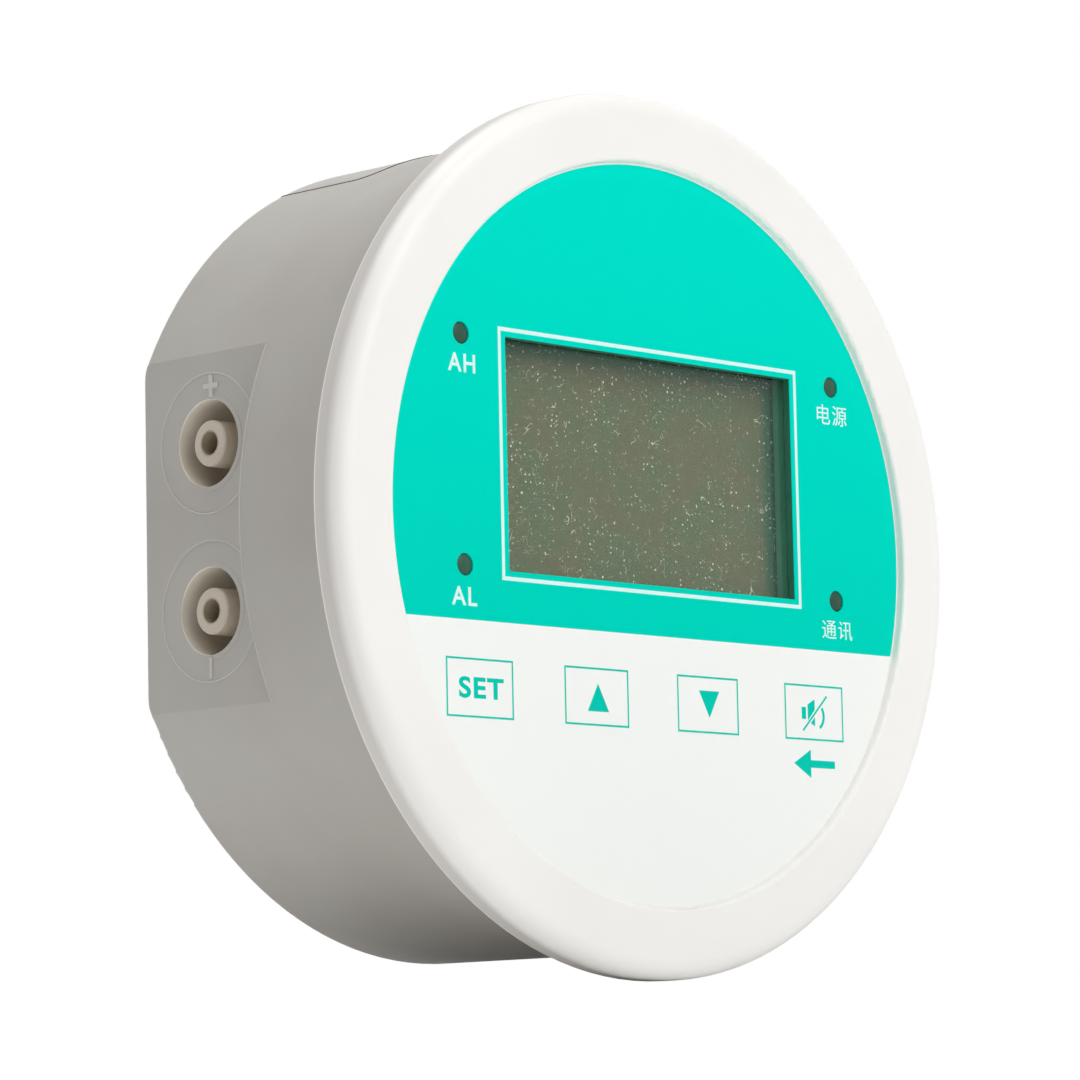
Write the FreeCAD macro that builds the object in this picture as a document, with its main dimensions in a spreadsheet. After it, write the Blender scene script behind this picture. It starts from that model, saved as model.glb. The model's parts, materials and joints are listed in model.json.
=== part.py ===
"""Round panel-mounted differential pressure transmitter with a display and four keys.

The origin is the centre of the seat where the bezel meets the panel. +Y runs back through
the panel cut-out, the front faces -Y and +Z is up. All lengths are millimetres.

Every size is a cell of the sheet "dims". A formula is written with the cells' names, and
formula() turns them into references, so that each sub-part follows the sheet.
"""
import FreeCAD, Part
import math
import os
import re
import Sketcher

SIZES = {
    # white front moulding: rim, front plate and the skirt that enters the housing
    "bezel_radius": 61.0,
    "bezel_depth": 5.1,
    "bezel_round": 2.6,
    "bezel_back_round": 0.3,
    "recess_depth": 1.5,
    "recess_round": 0.5,
    "plate_thickness": 2.4,
    "skirt_length": 7.0,
    "skirt_wall": 2.2,
    "skirt_gap": 0.25,
    "seal_radius": 0.75,
    "seal_setback": 4.0,
    "seal_gap": 0.1,
    # printed film on the front plate
    "label_radius": 51.0,
    "label_gap": 0.35,
    "label_thickness": 0.3,
    # display window and the module behind it
    "window_width": 57.5,
    "window_height": 31.5,
    "window_across": -0.35,
    "window_rise": 8.5,
    "pane_sink": 0.85,
    "pane_thickness": 1.25,
    "pane_lip": 2.0,
    "pane_gap": 0.15,
    "glass_setback": 0.5,
    "glass_thickness": 2.8,
    "glass_margin": 2.4,
    "glass_gap": 0.1,
    "backlight_thickness": 5.0,
    "frame_wall": 1.6,
    "frame_lip": 1.2,
    "frame_lip_thickness": 0.8,
    # status lamps, two each side of the window
    "lamp_spread": 37.4,
    "lamp_pitch": 30.8,
    "lamp_radius": 1.5,
    "lamp_gap": 0.12,
    "lamp_sink": 0.05,
    "lamp_length": 5.3,
    "lamp_round": 0.9,
    "lamp_flange_radius": 1.9,
    "lamp_flange_thickness": 1.0,
    "lamp_leg": 0.5,
    "lamp_leg_pitch": 2.54,
    # keys under the film, each on a tactile switch
    "key_pitch": 22.3,
    "key_across": -1.6,
    "key_drop": 23.1,
    "key_width": 10.0,
    "key_height": 5.6,
    "key_gap": 0.15,
    "key_flange": 1.0,
    "key_flange_thickness": 1.0,
    "key_post_radius": 2.0,
    "key_travel": 0.3,
    "switch_width": 6.0,
    "switch_thickness": 3.4,
    "stem_radius": 1.7,
    "stem_gap": 0.08,
    "stem_length": 3.4,
    "stem_engaged": 1.1,
    # circuit boards and what holds them
    "board_thickness": 1.6,
    "display_board_radius": 48.5,
    "main_board_radius": 50.0,
    "main_board_width": 58.0,
    "board_gap": 8.8,
    "spacer_across": 24.0,
    "spacer_edge": 3.55,
    "spacer_boss_radius": 3.0,
    "spacer_flats": 5.5,
    "spacer_stud_length": 5.0,
    "board_hole_gap": 0.1,
    "thread_radius": 1.5,
    "thread_gap": 0.05,
    "screw_head_radius": 2.8,
    "screw_head_thickness": 2.0,
    "screw_shank_length": 4.0,
    "recess_width": 0.7,
    "recess_length": 3.0,
    "recess_sink": 1.0,
    # parts on the boards
    "link_width": 25.4,
    "link_height": 5.0,
    "link_edge": 7.0,
    "processor_width": 10.0,
    "processor_thickness": 1.4,
    "processor_across": -8.0,
    "processor_rise": 10.0,
    "buzzer_radius": 6.0,
    "buzzer_thickness": 8.5,
    "buzzer_across": 14.0,
    "buzzer_drop": 22.0,
    "buzzer_hole_radius": 1.2,
    "buzzer_hole_depth": 2.0,
    "relay_width": 15.5,
    "relay_depth": 15.0,
    "relay_height": 19.0,
    "relay_across": 17.0,
    "relay_pitch": 20.0,
    "relay_edge": 2.7,
    "power_width": 20.0,
    "power_depth": 10.0,
    "power_height": 11.0,
    "power_across": 14.5,
    "power_rise": 18.0,
    # round grey housing
    "body_radius": 57.0,
    "body_depth": 42.8,
    "body_wall": 2.5,
    "rear_round": 1.0,
    "column_circle": 49.0,
    "boss_radius": 3.5,
    "boss_reach": 14.0,
    "column_gap": 0.2,
    "column_radius": 4.6,
    "column_bore_gap": 0.2,
    "screw_seat": 38.0,
    "screw_tip": 7.0,
    "counterbore_gap": 0.3,
    # brass inserts for panel clips or for screws through a wall plate
    "insert_circle": 52.4,
    "insert_count": 3,
    "insert_radius": 2.8,
    "insert_bore": 1.65,
    "insert_length": 6.0,
    "insert_boss_wall": 1.2,
    # side flat with the two pressure ports
    "port_flat": 51.7,
    "flat_start": 18.3,
    "port_setback": 30.1,
    "port_pitch": 22.7,
    "port_rise": 0.45,
    "cup_radius": 5.9,
    "cup_wall": 0.6,
    "cup_round": 0.25,
    "cup_depth": 8.8,
    "cup_floor": 1.6,
    "cup_gap": 0.05,
    "cup_flange": 1.5,
    "cup_flange_thickness": 1.5,
    "nozzle_radius": 3.15,
    "nozzle_bore": 1.6,
    "nozzle_round": 0.35,
    "nozzle_sink": 0.2,
    "tail_radius": 1.6,
    "tail_bore": 0.9,
    "tail_length": 5.0,
    "ring_radius": 9.5,
    "ring_width": 0.24,
    "ring_sink": 0.2,
    # pressure sensor and its two tubes
    "sensor_across": -5.0,
    "sensor_width": 18.0,
    "sensor_depth": 14.2,
    "sensor_height": 16.0,
    "barb_pitch": 8.0,
    "barb_length": 6.5,
    "tube_wall": 1.0,
    "tube_bend": 6.0,
    "tube_lead_out": 6.1,
    "tube_lead_in": 7.3,
    "tube_end_gap": 0.3,
    # wiring bay at the top of the back, with its lift-off cover
    "cover_half_width": 26.2,
    "cover_start": 24.6,
    "cover_bottom": 30.0,
    "cover_wall": 2.2,
    "cover_gap": 0.2,
    "cover_lap": 2.0,
    "cover_corner": 3.0,
    "bay_wall": 2.0,
    "cover_screw_across": 18.5,
    "cover_screw_rise": 34.5,
    "cover_boss_radius": 3.0,
    "cover_screw_length": 8.0,
    "cover_head_sink": 1.5,
    "terminal_poles": 6,
    "terminal_pitch": 5.08,
    "terminal_depth": 12.6,
    "terminal_height": 10.0,
    "terminal_rise": 44.0,
    "terminal_gap": 0.35,
    "terminal_nose": 2.4,
    "terminal_entry": 3.0,
    "terminal_entry_setback": 4.0,
    "terminal_screw_radius": 1.7,
    "terminal_screw_sink": 1.2,
    "terminal_screw_length": 4.5,
    "terminal_slot": 0.5,
    # rubber grommet for the field cable
    "grommet_rise": 38.0,
    "grommet_neck": 4.6,
    "grommet_bore": 3.5,
    "grommet_flange": 1.1,
    "grommet_flange_thickness": 1.2,
}

# Places along Y that several sub-parts share.
PLATE_FACE = "(recess_depth - bezel_depth)"
PLATE_BACK = f"({PLATE_FACE} + plate_thickness)"
PANE_FACE = f"({PLATE_FACE} + pane_sink)"
GLASS_BACK = "(glass_setback + glass_thickness)"
DISPLAY_BOARD = f"({GLASS_BACK} + backlight_thickness)"
DISPLAY_BOARD_BACK = f"({DISPLAY_BOARD} + board_thickness)"
MAIN_BOARD = f"({DISPLAY_BOARD_BACK} + board_gap)"
MAIN_BOARD_BACK = f"({MAIN_BOARD} + board_thickness)"
SWITCH_FACE = f"({DISPLAY_BOARD} - switch_thickness)"
STEM_TIP = f"({SWITCH_FACE} + stem_engaged - stem_length)"
FLOOR = "(body_depth - body_wall)"
COVER_SEAT = "(body_depth - body_wall - cover_gap)"
BAY_FRONT = "(cover_start + cover_lap)"
BAY_FLOOR = "(cover_bottom + cover_lap)"
BAY_HALF_WIDTH = "(cover_half_width - cover_lap)"

# Radii and widths that follow from the sizes above.
HOUSING_BORE = "(body_radius - body_wall)"
SKIRT_RADIUS = f"({HOUSING_BORE} - skirt_gap)"
SEAL_GROOVE = f"({HOUSING_BORE} - seal_gap - 2 * seal_radius)"
GLASS_WIDTH = "(window_width + 2 * glass_margin)"
GLASS_HEIGHT = "(window_height + 2 * glass_margin)"
CUP_OUTSIDE = "(cup_radius + cup_wall)"
CUP_BACK = "(cup_depth + cup_floor)"
COVER_INSIDE = "(body_radius - cover_wall)"
PLAIN_BORE = "(thread_radius + column_bore_gap)"
PILOT_BORE = "(thread_radius + thread_gap)"
COUNTERBORE = "(screw_head_radius + counterbore_gap)"
COLUMN_PLACE = "(column_circle * cos(45))"
SMALLER_BOARD = "min(main_board_radius; display_board_radius)"
SPACER_RISE = f"sqrt(({SMALLER_BOARD} - spacer_edge)^2 - spacer_across^2)"
LINK_RISE = f"(link_edge - {SMALLER_BOARD})"
LOWEST_RELAY = f"(relay_height / 2 + relay_edge + screw_head_radius - {SPACER_RISE})"
TERMINAL_WIDTH = "(terminal_poles * terminal_pitch)"
TERMINAL_BACK = f"({MAIN_BOARD_BACK} + terminal_depth)"

KEYS = ("set", "up", "down", "mute")
LAMPS = {"high_alarm": (-1, 1), "low_alarm": (-1, -1), "power": (1, 1), "link": (1, -1)}
PORTS = {"high": 1, "low": -1}
CORNERS = ((1, 1), (-1, 1), (-1, -1), (1, -1))
TOWARDS_BACK = FreeCAD.Rotation(FreeCAD.Vector(1, 0, 0), -90)
TOLERANCE = 0.001
# The housing's round collar and its flattened rear share a radius. The edge between them is kept.
KEEPS_EDGES = ("rear_housing",)

doc = FreeCAD.newDocument("pressure_transmitter")
sheet = doc.addObject("Spreadsheet::Sheet", "dims")
for line, (word, number) in enumerate(SIZES.items(), start=1):
    sheet.set(f"A{line}", word)
    sheet.set(f"B{line}", str(number))
    sheet.setAlias(f"B{line}", word)
doc.recompute()
nodes = []


# ---------------------------------------------------------------- formulas and primitives
def formula(text):
    """Write each of the sheet's names in the text as a reference to its cell."""
    return re.sub(r"[a-z]\w*", lambda name: ("dims." if name[0] in SIZES else "") + name[0], text)


def amount(text):
    """The number that a formula gives now."""
    return float(sheet.evalExpression(formula(text)))


def bind(thing, links):
    """Tie each named property of an object to its formula."""
    for name, text in links.items():
        thing.setExpression(name, formula(text))
    return thing


def place(thing, across="0", back="0", rise="0"):
    """Tie where an object stands to three formulas."""
    return bind(thing, {
        "Placement.Base.x": across,
        "Placement.Base.y": back,
        "Placement.Base.z": rise,
    })


def block(name, across, start, rise, width, depth, height):
    """A box with its middle at across and rise, and its front face at start."""
    box = doc.addObject("Part::Box", name)
    bind(box, {"Length": width, "Width": depth, "Height": height})
    return place(box, f"{across} - ({width}) / 2", start, f"{rise} - ({height}) / 2")


def rod(name, radius, across, start, rise, length):
    """A round bar that runs back from start."""
    bar = doc.addObject("Part::Cylinder", name)
    bar.Placement.Rotation = TOWARDS_BACK
    bind(bar, {"Radius": radius, "Height": length})
    return place(bar, across, start, rise)


def fuse(name, *pieces):
    """Several shapes made one."""
    whole = doc.addObject("Part::MultiFuse", name)
    whole.Shapes = list(pieces)
    return whole


def cut(name, base, *tools):
    """A shape with others taken away from it."""
    rest = doc.addObject("Part::Cut", name)
    rest.Base = base
    rest.Tool = tools[0] if len(tools) == 1 else fuse(name + "_tools", *tools)
    return rest


def loose_set(name, pieces):
    """Like fasteners in one sub-part, each a solid of its own."""
    group = doc.addObject("Part::Compound", name)
    group.Links = list(pieces)
    return group


def node(thing, label):
    """Name a finished sub-part and keep it for the export."""
    thing.Label = label
    nodes.append(thing)
    return thing


# ---------------------------------------------------------------- sketches and features
def plane_of(body, role):
    """One of a body's own three origin planes."""
    return [part for part in body.Origin.OriginFeatures if part.Role == role][0]


def sketch(body, plane, offset="0"):
    """An empty sketch on XY_Plane, XZ_Plane or YZ_Plane, moved along the third axis."""
    flat = body.newObject("Sketcher::SketchObject", body.Name + "_sketch")
    flat.AttachmentSupport = (plane_of(body, plane), "")
    flat.MapMode = "FlatFace"
    sign = "-" if plane == "XZ_Plane" else ""
    return bind(flat, {"AttachmentOffset.Base.z": f"{sign}({offset})"})


def hold(flat, kind, formula_text, *where):
    """Add a constraint to a sketch and tie its value to a formula."""
    index = flat.addConstraint(Sketcher.Constraint(kind, *where, amount(formula_text)))
    flat.setExpression(f"Constraints[{index}]", formula(formula_text))


def outline(flat, points):
    """A closed polygon with each corner held by its two formulas."""
    first = flat.GeometryCount
    spots = [FreeCAD.Vector(amount(across), amount(up), 0) for across, up in points]
    count = len(points)
    for index in range(count):
        flat.addGeometry(Part.LineSegment(spots[index], spots[(index + 1) % count]), False)
    for index, (across, up) in enumerate(points):
        line = first + index
        following = first + (index + 1) % count
        flat.addConstraint(Sketcher.Constraint("Coincident", line, 2, following, 1))
        hold(flat, "DistanceX", across, -1, 1, line, 1)
        hold(flat, "DistanceY", up, -1, 1, line, 1)
    return flat


def rectangle(flat, across, up, width, height):
    """A rectangle about a middle point."""
    left, right = f"{across} - ({width}) / 2", f"{across} + ({width}) / 2"
    low, high = f"{up} - ({height}) / 2", f"{up} + ({height}) / 2"
    return outline(flat, ((left, low), (right, low), (right, high), (left, high)))


def circle(flat, radius, across="0", up="0"):
    """A circle held by its radius and its centre."""
    centre = FreeCAD.Vector(amount(across), amount(up), 0)
    normal = FreeCAD.Vector(0, 0, 1)
    ring = flat.addGeometry(Part.Circle(centre, normal, amount(radius)), False)
    hold(flat, "Radius", radius, ring)
    hold(flat, "DistanceX", across, -1, 1, ring, 3)
    hold(flat, "DistanceY", up, -1, 1, ring, 3)
    return flat


def arc(flat, radius, start, end):
    """An arc about the sketch's origin, anticlockwise from one point to another."""
    whole = Part.Circle(FreeCAD.Vector(), FreeCAD.Vector(0, 0, 1), amount(radius))
    ends = [whole.parameter(FreeCAD.Vector(*spot, 0)) for spot in (start, end)]
    curve = flat.addGeometry(Part.ArcOfCircle(whole, *ends), False)
    flat.addConstraint(Sketcher.Constraint("Coincident", curve, 3, -1, 1))
    hold(flat, "Radius", radius, curve)
    return curve


def flattened_circle(flat, radius, chord):
    """A circle about the origin with its -X side cut off at a chord."""
    half = f"sqrt(({radius}) * ({radius}) - ({chord}) * ({chord}))"
    left, reach = -amount(chord), amount(half)
    curve = arc(flat, radius, (left, -reach), (left, reach))
    side = flat.addGeometry(Part.LineSegment(FreeCAD.Vector(left, reach, 0),
                                             FreeCAD.Vector(left, -reach, 0)), False)
    flat.addConstraint(Sketcher.Constraint("Coincident", curve, 2, side, 1))
    flat.addConstraint(Sketcher.Constraint("Coincident", side, 2, curve, 1))
    flat.addConstraint(Sketcher.Constraint("Vertical", side))
    hold(flat, "DistanceX", f"-({chord})", -1, 1, side, 1)
    return flat


def arch(flat, half_width, bottom, radius):
    """Two upright sides on a level bottom, closed by an arc about the origin."""
    half, low, reach = amount(half_width), amount(bottom), amount(radius)
    top = (reach * reach - half * half) ** 0.5
    curve = arc(flat, radius, (half, top), (-half, top))
    corners = ((-half, top), (-half, low), (half, low), (half, top))
    spots = [FreeCAD.Vector(*corner, 0) for corner in corners]
    lines = [flat.addGeometry(Part.LineSegment(*pair), False) for pair in zip(spots, spots[1:])]
    for line, following in zip([curve] + lines, lines + [curve]):
        flat.addConstraint(Sketcher.Constraint("Coincident", line, 2, following, 1))
    hold(flat, "DistanceX", f"-({half_width})", -1, 1, lines[0], 1)
    hold(flat, "DistanceX", f"-({half_width})", -1, 1, lines[1], 1)
    hold(flat, "DistanceX", half_width, -1, 1, lines[2], 1)
    hold(flat, "DistanceX", half_width, -1, 1, lines[2], 2)
    hold(flat, "DistanceY", bottom, -1, 1, lines[1], 1)
    hold(flat, "DistanceY", bottom, -1, 1, lines[2], 1)
    return flat


def curved_strip(flat, half_width, inner, outer):
    """The strip between two arcs about the origin, between two upright sides."""
    half = amount(half_width)
    tops = [(amount(radius) ** 2 - half * half) ** 0.5 for radius in (inner, outer)]
    low = arc(flat, inner, (half, tops[0]), (-half, tops[0]))
    high = arc(flat, outer, (half, tops[1]), (-half, tops[1]))
    for end, side in ((1, 1), (2, -1)):
        spots = [FreeCAD.Vector(side * half, top, 0) for top in tops]
        line = flat.addGeometry(Part.LineSegment(*spots), False)
        flat.addConstraint(Sketcher.Constraint("Coincident", line, 1, low, end))
        flat.addConstraint(Sketcher.Constraint("Coincident", line, 2, high, end))
        hold(flat, "DistanceX", f"{side} * ({half_width})", -1, 1, line, 1)
        hold(flat, "DistanceX", f"{side} * ({half_width})", -1, 1, line, 2)
    return flat


def new_feature(body, kind, word):
    """A feature of a body, which merges faces of one surface unless the body keeps its edges."""
    feature = body.newObject("PartDesign::" + kind, f"{body.Name}_{word}")
    feature.Refine = body.Name not in KEEPS_EDGES
    return feature


def along_axis(body, kind, flat, length, backwards):
    """A Pad or Pocket that runs from its sketch towards +X, +Y or +Z."""
    feature = new_feature(body, kind, kind.lower())
    feature.Profile = flat
    feature.Reversed = backwards
    return bind(feature, {"Length": length})


def faces_front(flat):
    """Whether a sketch lies on the XZ plane, whose normal is -Y."""
    return flat.AttachmentSupport[0][0].Role == "XZ_Plane"


def add(body, flat, length):
    """Pad a sketch towards +X, +Y or +Z."""
    return along_axis(body, "Pad", flat, length, faces_front(flat))


def remove(body, flat, length):
    """Cut a pocket from a sketch towards +X, +Y or +Z."""
    return along_axis(body, "Pocket", flat, length, not faces_front(flat))


def turn(body, flat, axis="V_Axis"):
    """Revolve a profile a full turn about one of its sketch's axes."""
    solid = new_feature(body, "Revolution", "turned")
    solid.Profile = flat
    solid.ReferenceAxis = (flat, [axis])
    solid.Angle = 360
    return solid


def ring_of(body, features, count):
    """Repeat features in equal steps about the Y axis."""
    pattern = new_feature(body, "PolarPattern", "ring")
    pattern.Originals = features
    pattern.Axis = (plane_of(body, "Y_Axis"), [""])
    pattern.Angle = 360
    bind(pattern, {"Occurrences": count})
    body.Tip = pattern
    return pattern


def row_of(body, features, length, count):
    """Repeat features along X, spread over a length."""
    pattern = new_feature(body, "LinearPattern", "row")
    pattern.Originals = features
    pattern.Direction = (plane_of(body, "X_Axis"), [""])
    bind(pattern, {"Length": length, "Occurrences": count})
    body.Tip = pattern
    return pattern


def round_off(body, radius, wanted):
    """Fillet the edges of a body's last feature that a test picks."""
    doc.recompute()
    last = body.Tip
    picked = [f"Edge{n}" for n, edge in enumerate(last.Shape.Edges, start=1) if wanted(edge)]
    if not picked:
        raise ValueError(f"{body.Name}: no edge to round")
    fillet = new_feature(body, "Fillet", "round")
    fillet.Base = (last, picked)
    return bind(fillet, {"Radius": radius})


def is_ring(edge, radius, axis, level):
    """Whether an edge is an arc of this radius whose plane stands at a level on x, y or z."""
    if not isinstance(edge.Curve, Part.Circle):
        return False
    height = getattr(edge.CenterOfMass, axis)
    return abs(edge.Curve.Radius - amount(radius)) < TOLERANCE and abs(height - amount(level)) < TOLERANCE


def new_body(name):
    """An empty body, which becomes one sub-part."""
    return node(doc.addObject("PartDesign::Body", name), name)


# ---------------------------------------------------------------- fasteners
def screw(name, across, rise, head_end, length, head=("screw_head_radius", "screw_head_thickness")):
    """A cross-head screw that enters from the back, with its head's top face at head_end."""
    radius, thickness = head
    cap = rod(name + "_cap", radius, across, f"{head_end} - {thickness}", rise, thickness)
    shank_start = f"{head_end} - {thickness} - ({length})"
    shank = rod(name + "_shank", "thread_radius", across, shank_start, rise, length)
    whole = fuse(name + "_blank", cap, shank)
    start = f"{head_end} - recess_sink"
    bars = [
        block(name + "_slot", across, start, rise, "recess_width", "recess_sink", "recess_length"),
        block(name + "_slot", across, start, rise, "recess_length", "recess_sink", "recess_width"),
    ]
    return cut(name, whole, *bars)


def corner_places(across, rise):
    """The four places at plus and minus two distances."""
    return [(f"{side} * {across}", f"{level} * {rise}") for side, level in CORNERS]


# ---------------------------------------------------------------- front moulding
def front_bezel():
    """Rim, recessed plate and skirt turned in one profile, then bosses and openings."""
    body = new_body("front_bezel")
    groove_front = "seal_setback - seal_radius - seal_gap"
    groove_back = "seal_setback + seal_radius + seal_gap"
    skirt_inside = f"({SKIRT_RADIUS} - skirt_wall)"
    recess_radius = "(label_radius + label_gap)"
    turn(body, outline(sketch(body, "XY_Plane"), (
        ("0", PLATE_FACE), (recess_radius, PLATE_FACE), (recess_radius, "-bezel_depth"),
        ("bezel_radius", "-bezel_depth"), ("bezel_radius", "0"), (SKIRT_RADIUS, "0"),
        (SKIRT_RADIUS, groove_front), (SEAL_GROOVE, groove_front),
        (SEAL_GROOVE, groove_back), (SKIRT_RADIUS, groove_back),
        (SKIRT_RADIUS, "skirt_length"), (skirt_inside, "skirt_length"),
        (skirt_inside, PLATE_BACK), ("0", PLATE_BACK))))
    round_off(body, "bezel_round", lambda edge: is_ring(edge, "bezel_radius", "y", "-bezel_depth"))
    round_off(body, "recess_round", lambda edge: is_ring(edge, recess_radius, "y", "-bezel_depth"))
    round_off(body, "bezel_back_round", lambda edge: is_ring(edge, "bezel_radius", "y", "0"))
    screw_bosses(body)
    spacer_bosses(body)
    front_openings(body)


def screw_bosses(body):
    """Four bosses inside the skirt, which the long housing screws enter."""
    boss = sketch(body, "XZ_Plane", PLATE_BACK)
    circle(boss, "boss_radius", COLUMN_PLACE, COLUMN_PLACE)
    pad = add(body, boss, f"boss_reach - {PLATE_BACK}")
    ring_of(body, [pad], "4")
    pilot = sketch(body, "XZ_Plane", "screw_tip")
    circle(pilot, PILOT_BORE, COLUMN_PLACE, COLUMN_PLACE)
    hole = remove(body, pilot, "boss_reach - screw_tip")
    ring_of(body, [hole], "4")


def spacer_bosses(body):
    """Four bosses behind the plate that carry the display board."""
    bosses = sketch(body, "XZ_Plane", PLATE_BACK)
    stud_tip = f"{DISPLAY_BOARD_BACK} - spacer_stud_length"
    pilots = sketch(body, "XZ_Plane", f"{stud_tip} - thread_gap")
    for across, rise in corner_places("spacer_across", SPACER_RISE):
        circle(bosses, "spacer_boss_radius", across, rise)
        circle(pilots, PILOT_BORE, across, rise)
    add(body, bosses, f"{DISPLAY_BOARD} - {PLATE_BACK}")
    remove(body, pilots, "spacer_stud_length + thread_gap - board_thickness")


def lamp_place(name):
    """Where a lamp stands on the front, as two formulas."""
    side, level = LAMPS[name]
    return f"{side} * lamp_spread", f"window_rise + {level} * lamp_pitch / 2"


def key_across(index):
    """How far across the front a key stands."""
    return f"key_across + ({index} - {(len(KEYS) - 1) / 2}) * key_pitch"


def front_openings(body):
    """The window with its rebate for the pane, the lamp holes and the key holes."""
    opening = sketch(body, "XZ_Plane", PLATE_FACE)
    rectangle(opening, "window_across", "window_rise", "window_width", "window_height")
    for name in LAMPS:
        circle(opening, "lamp_radius + lamp_gap", *lamp_place(name))
    for index in range(len(KEYS)):
        rectangle(opening, key_across(index), "-key_drop",
                  "key_width + 2 * key_gap", "key_height + 2 * key_gap")
    remove(body, opening, "plate_thickness")
    rebate = sketch(body, "XZ_Plane", PANE_FACE)
    rectangle(rebate, "window_across", "window_rise",
              "window_width + 2 * pane_lip", "window_height + 2 * pane_lip")
    remove(body, rebate, "plate_thickness - pane_sink")


def front_label():
    """The printed film in the recess, open over the window and the lamps."""
    body = new_body("front_label")
    disc = circle(sketch(body, "XZ_Plane", f"{PLATE_FACE} - label_thickness"), "label_radius")
    add(body, disc, "label_thickness")
    opening = sketch(body, "XZ_Plane", f"{PLATE_FACE} - label_thickness")
    rectangle(opening, "window_across", "window_rise", "window_width", "window_height")
    for name in LAMPS:
        circle(opening, "lamp_radius", *lamp_place(name))
    remove(body, opening, "label_thickness")


def front_seal():
    """The O-ring in the skirt's groove."""
    ring = doc.addObject("Part::Torus", "front_seal")
    ring.Placement.Rotation = TOWARDS_BACK
    bind(ring, {"Radius1": f"{SEAL_GROOVE} + seal_radius", "Radius2": "seal_radius"})
    node(place(ring, back="seal_setback"), "front_seal")


# ---------------------------------------------------------------- display, lamps and keys
def display():
    """The clear pane, and the glass and backlight in their frame."""
    pane = block("display_window", "window_across", PANE_FACE, "window_rise",
                 "window_width + 2 * (pane_lip - pane_gap)", "pane_thickness",
                 "window_height + 2 * (pane_lip - pane_gap)")
    node(pane, "display_window")
    middle = ("window_across", "window_rise")
    glass = block("display_glass", middle[0], "glass_setback", middle[1],
                  GLASS_WIDTH, "glass_thickness", GLASS_HEIGHT)
    node(glass, "display_glass")
    light = block("display_backlight", middle[0], GLASS_BACK, middle[1],
                  GLASS_WIDTH, "backlight_thickness", GLASS_HEIGHT)
    node(light, "display_backlight")
    frame = new_body("display_frame")
    front = "(glass_setback - frame_lip_thickness)"
    rim = sketch(frame, "XZ_Plane", front)
    rectangle(rim, *middle, f"{GLASS_WIDTH} + 2 * (glass_gap + frame_wall)",
              f"{GLASS_HEIGHT} + 2 * (glass_gap + frame_wall)")
    rectangle(rim, *middle, f"{GLASS_WIDTH} - 2 * frame_lip", f"{GLASS_HEIGHT} - 2 * frame_lip")
    add(frame, rim, f"{DISPLAY_BOARD} - {front}")
    pocket = sketch(frame, "XZ_Plane", "glass_setback")
    rectangle(pocket, *middle, f"{GLASS_WIDTH} + 2 * glass_gap", f"{GLASS_HEIGHT} + 2 * glass_gap")
    remove(frame, pocket, f"{DISPLAY_BOARD} - glass_setback")


def lamp(name):
    """A round-nosed lamp with a flange and two legs, in a frame of its own at the nose."""
    body = new_body(name + "_lamp")
    flange_front = "(lamp_length - lamp_flange_thickness)"
    turn(body, outline(sketch(body, "XY_Plane"), (
        ("0", "0"), ("lamp_radius", "0"), ("lamp_radius", flange_front),
        ("lamp_flange_radius", flange_front), ("lamp_flange_radius", "lamp_length"),
        ("0", "lamp_length"))))
    round_off(body, "lamp_round", lambda edge: is_ring(edge, "lamp_radius", "y", "0"))
    legs = sketch(body, "XZ_Plane", "lamp_length")
    for side in (-1, 1):
        rectangle(legs, f"{side} * lamp_leg_pitch / 2", "0", "lamp_leg", "lamp_leg")
    add(body, legs, f"{DISPLAY_BOARD} - {PLATE_FACE} - lamp_sink - lamp_length")
    across, rise = lamp_place(name)
    place(body, across, f"{PLATE_FACE} + lamp_sink", rise)


def key(name, index):
    """A key cap with its flange and post, the stem it presses and the switch around it."""
    across, rise = key_across(index), "-key_drop"
    cap_depth = f"({PLATE_BACK} - {PLATE_FACE})"
    post_start = f"({PLATE_BACK} + key_flange_thickness)"
    cap = fuse(
        name + "_key",
        block(name + "_cap", across, PLATE_FACE, rise, "key_width", cap_depth, "key_height"),
        block(name + "_flange", across, PLATE_BACK, rise, "key_width + 2 * key_flange",
              "key_flange_thickness", "key_height + 2 * key_flange"),
        rod(name + "_post", "key_post_radius", across, post_start, rise, f"{STEM_TIP} - {post_start}"))
    node(cap, name + "_key")
    stem = rod(name + "_stem", "stem_radius", across, STEM_TIP, rise, "stem_length")
    node(stem, name + "_stem")
    case = block(name + "_case", across, SWITCH_FACE, rise,
                 "switch_width", "switch_thickness", "switch_width")
    well = rod(name + "_well", "stem_radius + stem_gap", across, SWITCH_FACE, rise,
               "stem_engaged + 2 * key_travel")
    node(cut(name + "_switch", case, well), name + "_switch")


# ---------------------------------------------------------------- boards
def display_board():
    """A round board with notches for the housing bosses and holes for the spacers."""
    body = new_body("display_board")
    add(body, circle(sketch(body, "XZ_Plane", DISPLAY_BOARD), "display_board_radius"), "board_thickness")
    notch = sketch(body, "XZ_Plane", DISPLAY_BOARD)
    circle(notch, "boss_radius + column_gap", COLUMN_PLACE, COLUMN_PLACE)
    ring_of(body, [remove(body, notch, "board_thickness")], "4")
    holes = sketch(body, "XZ_Plane", DISPLAY_BOARD)
    for place_pair in corner_places("spacer_across", SPACER_RISE):
        circle(holes, "thread_radius + board_hole_gap", *place_pair)
    remove(body, holes, "board_thickness")


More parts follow.
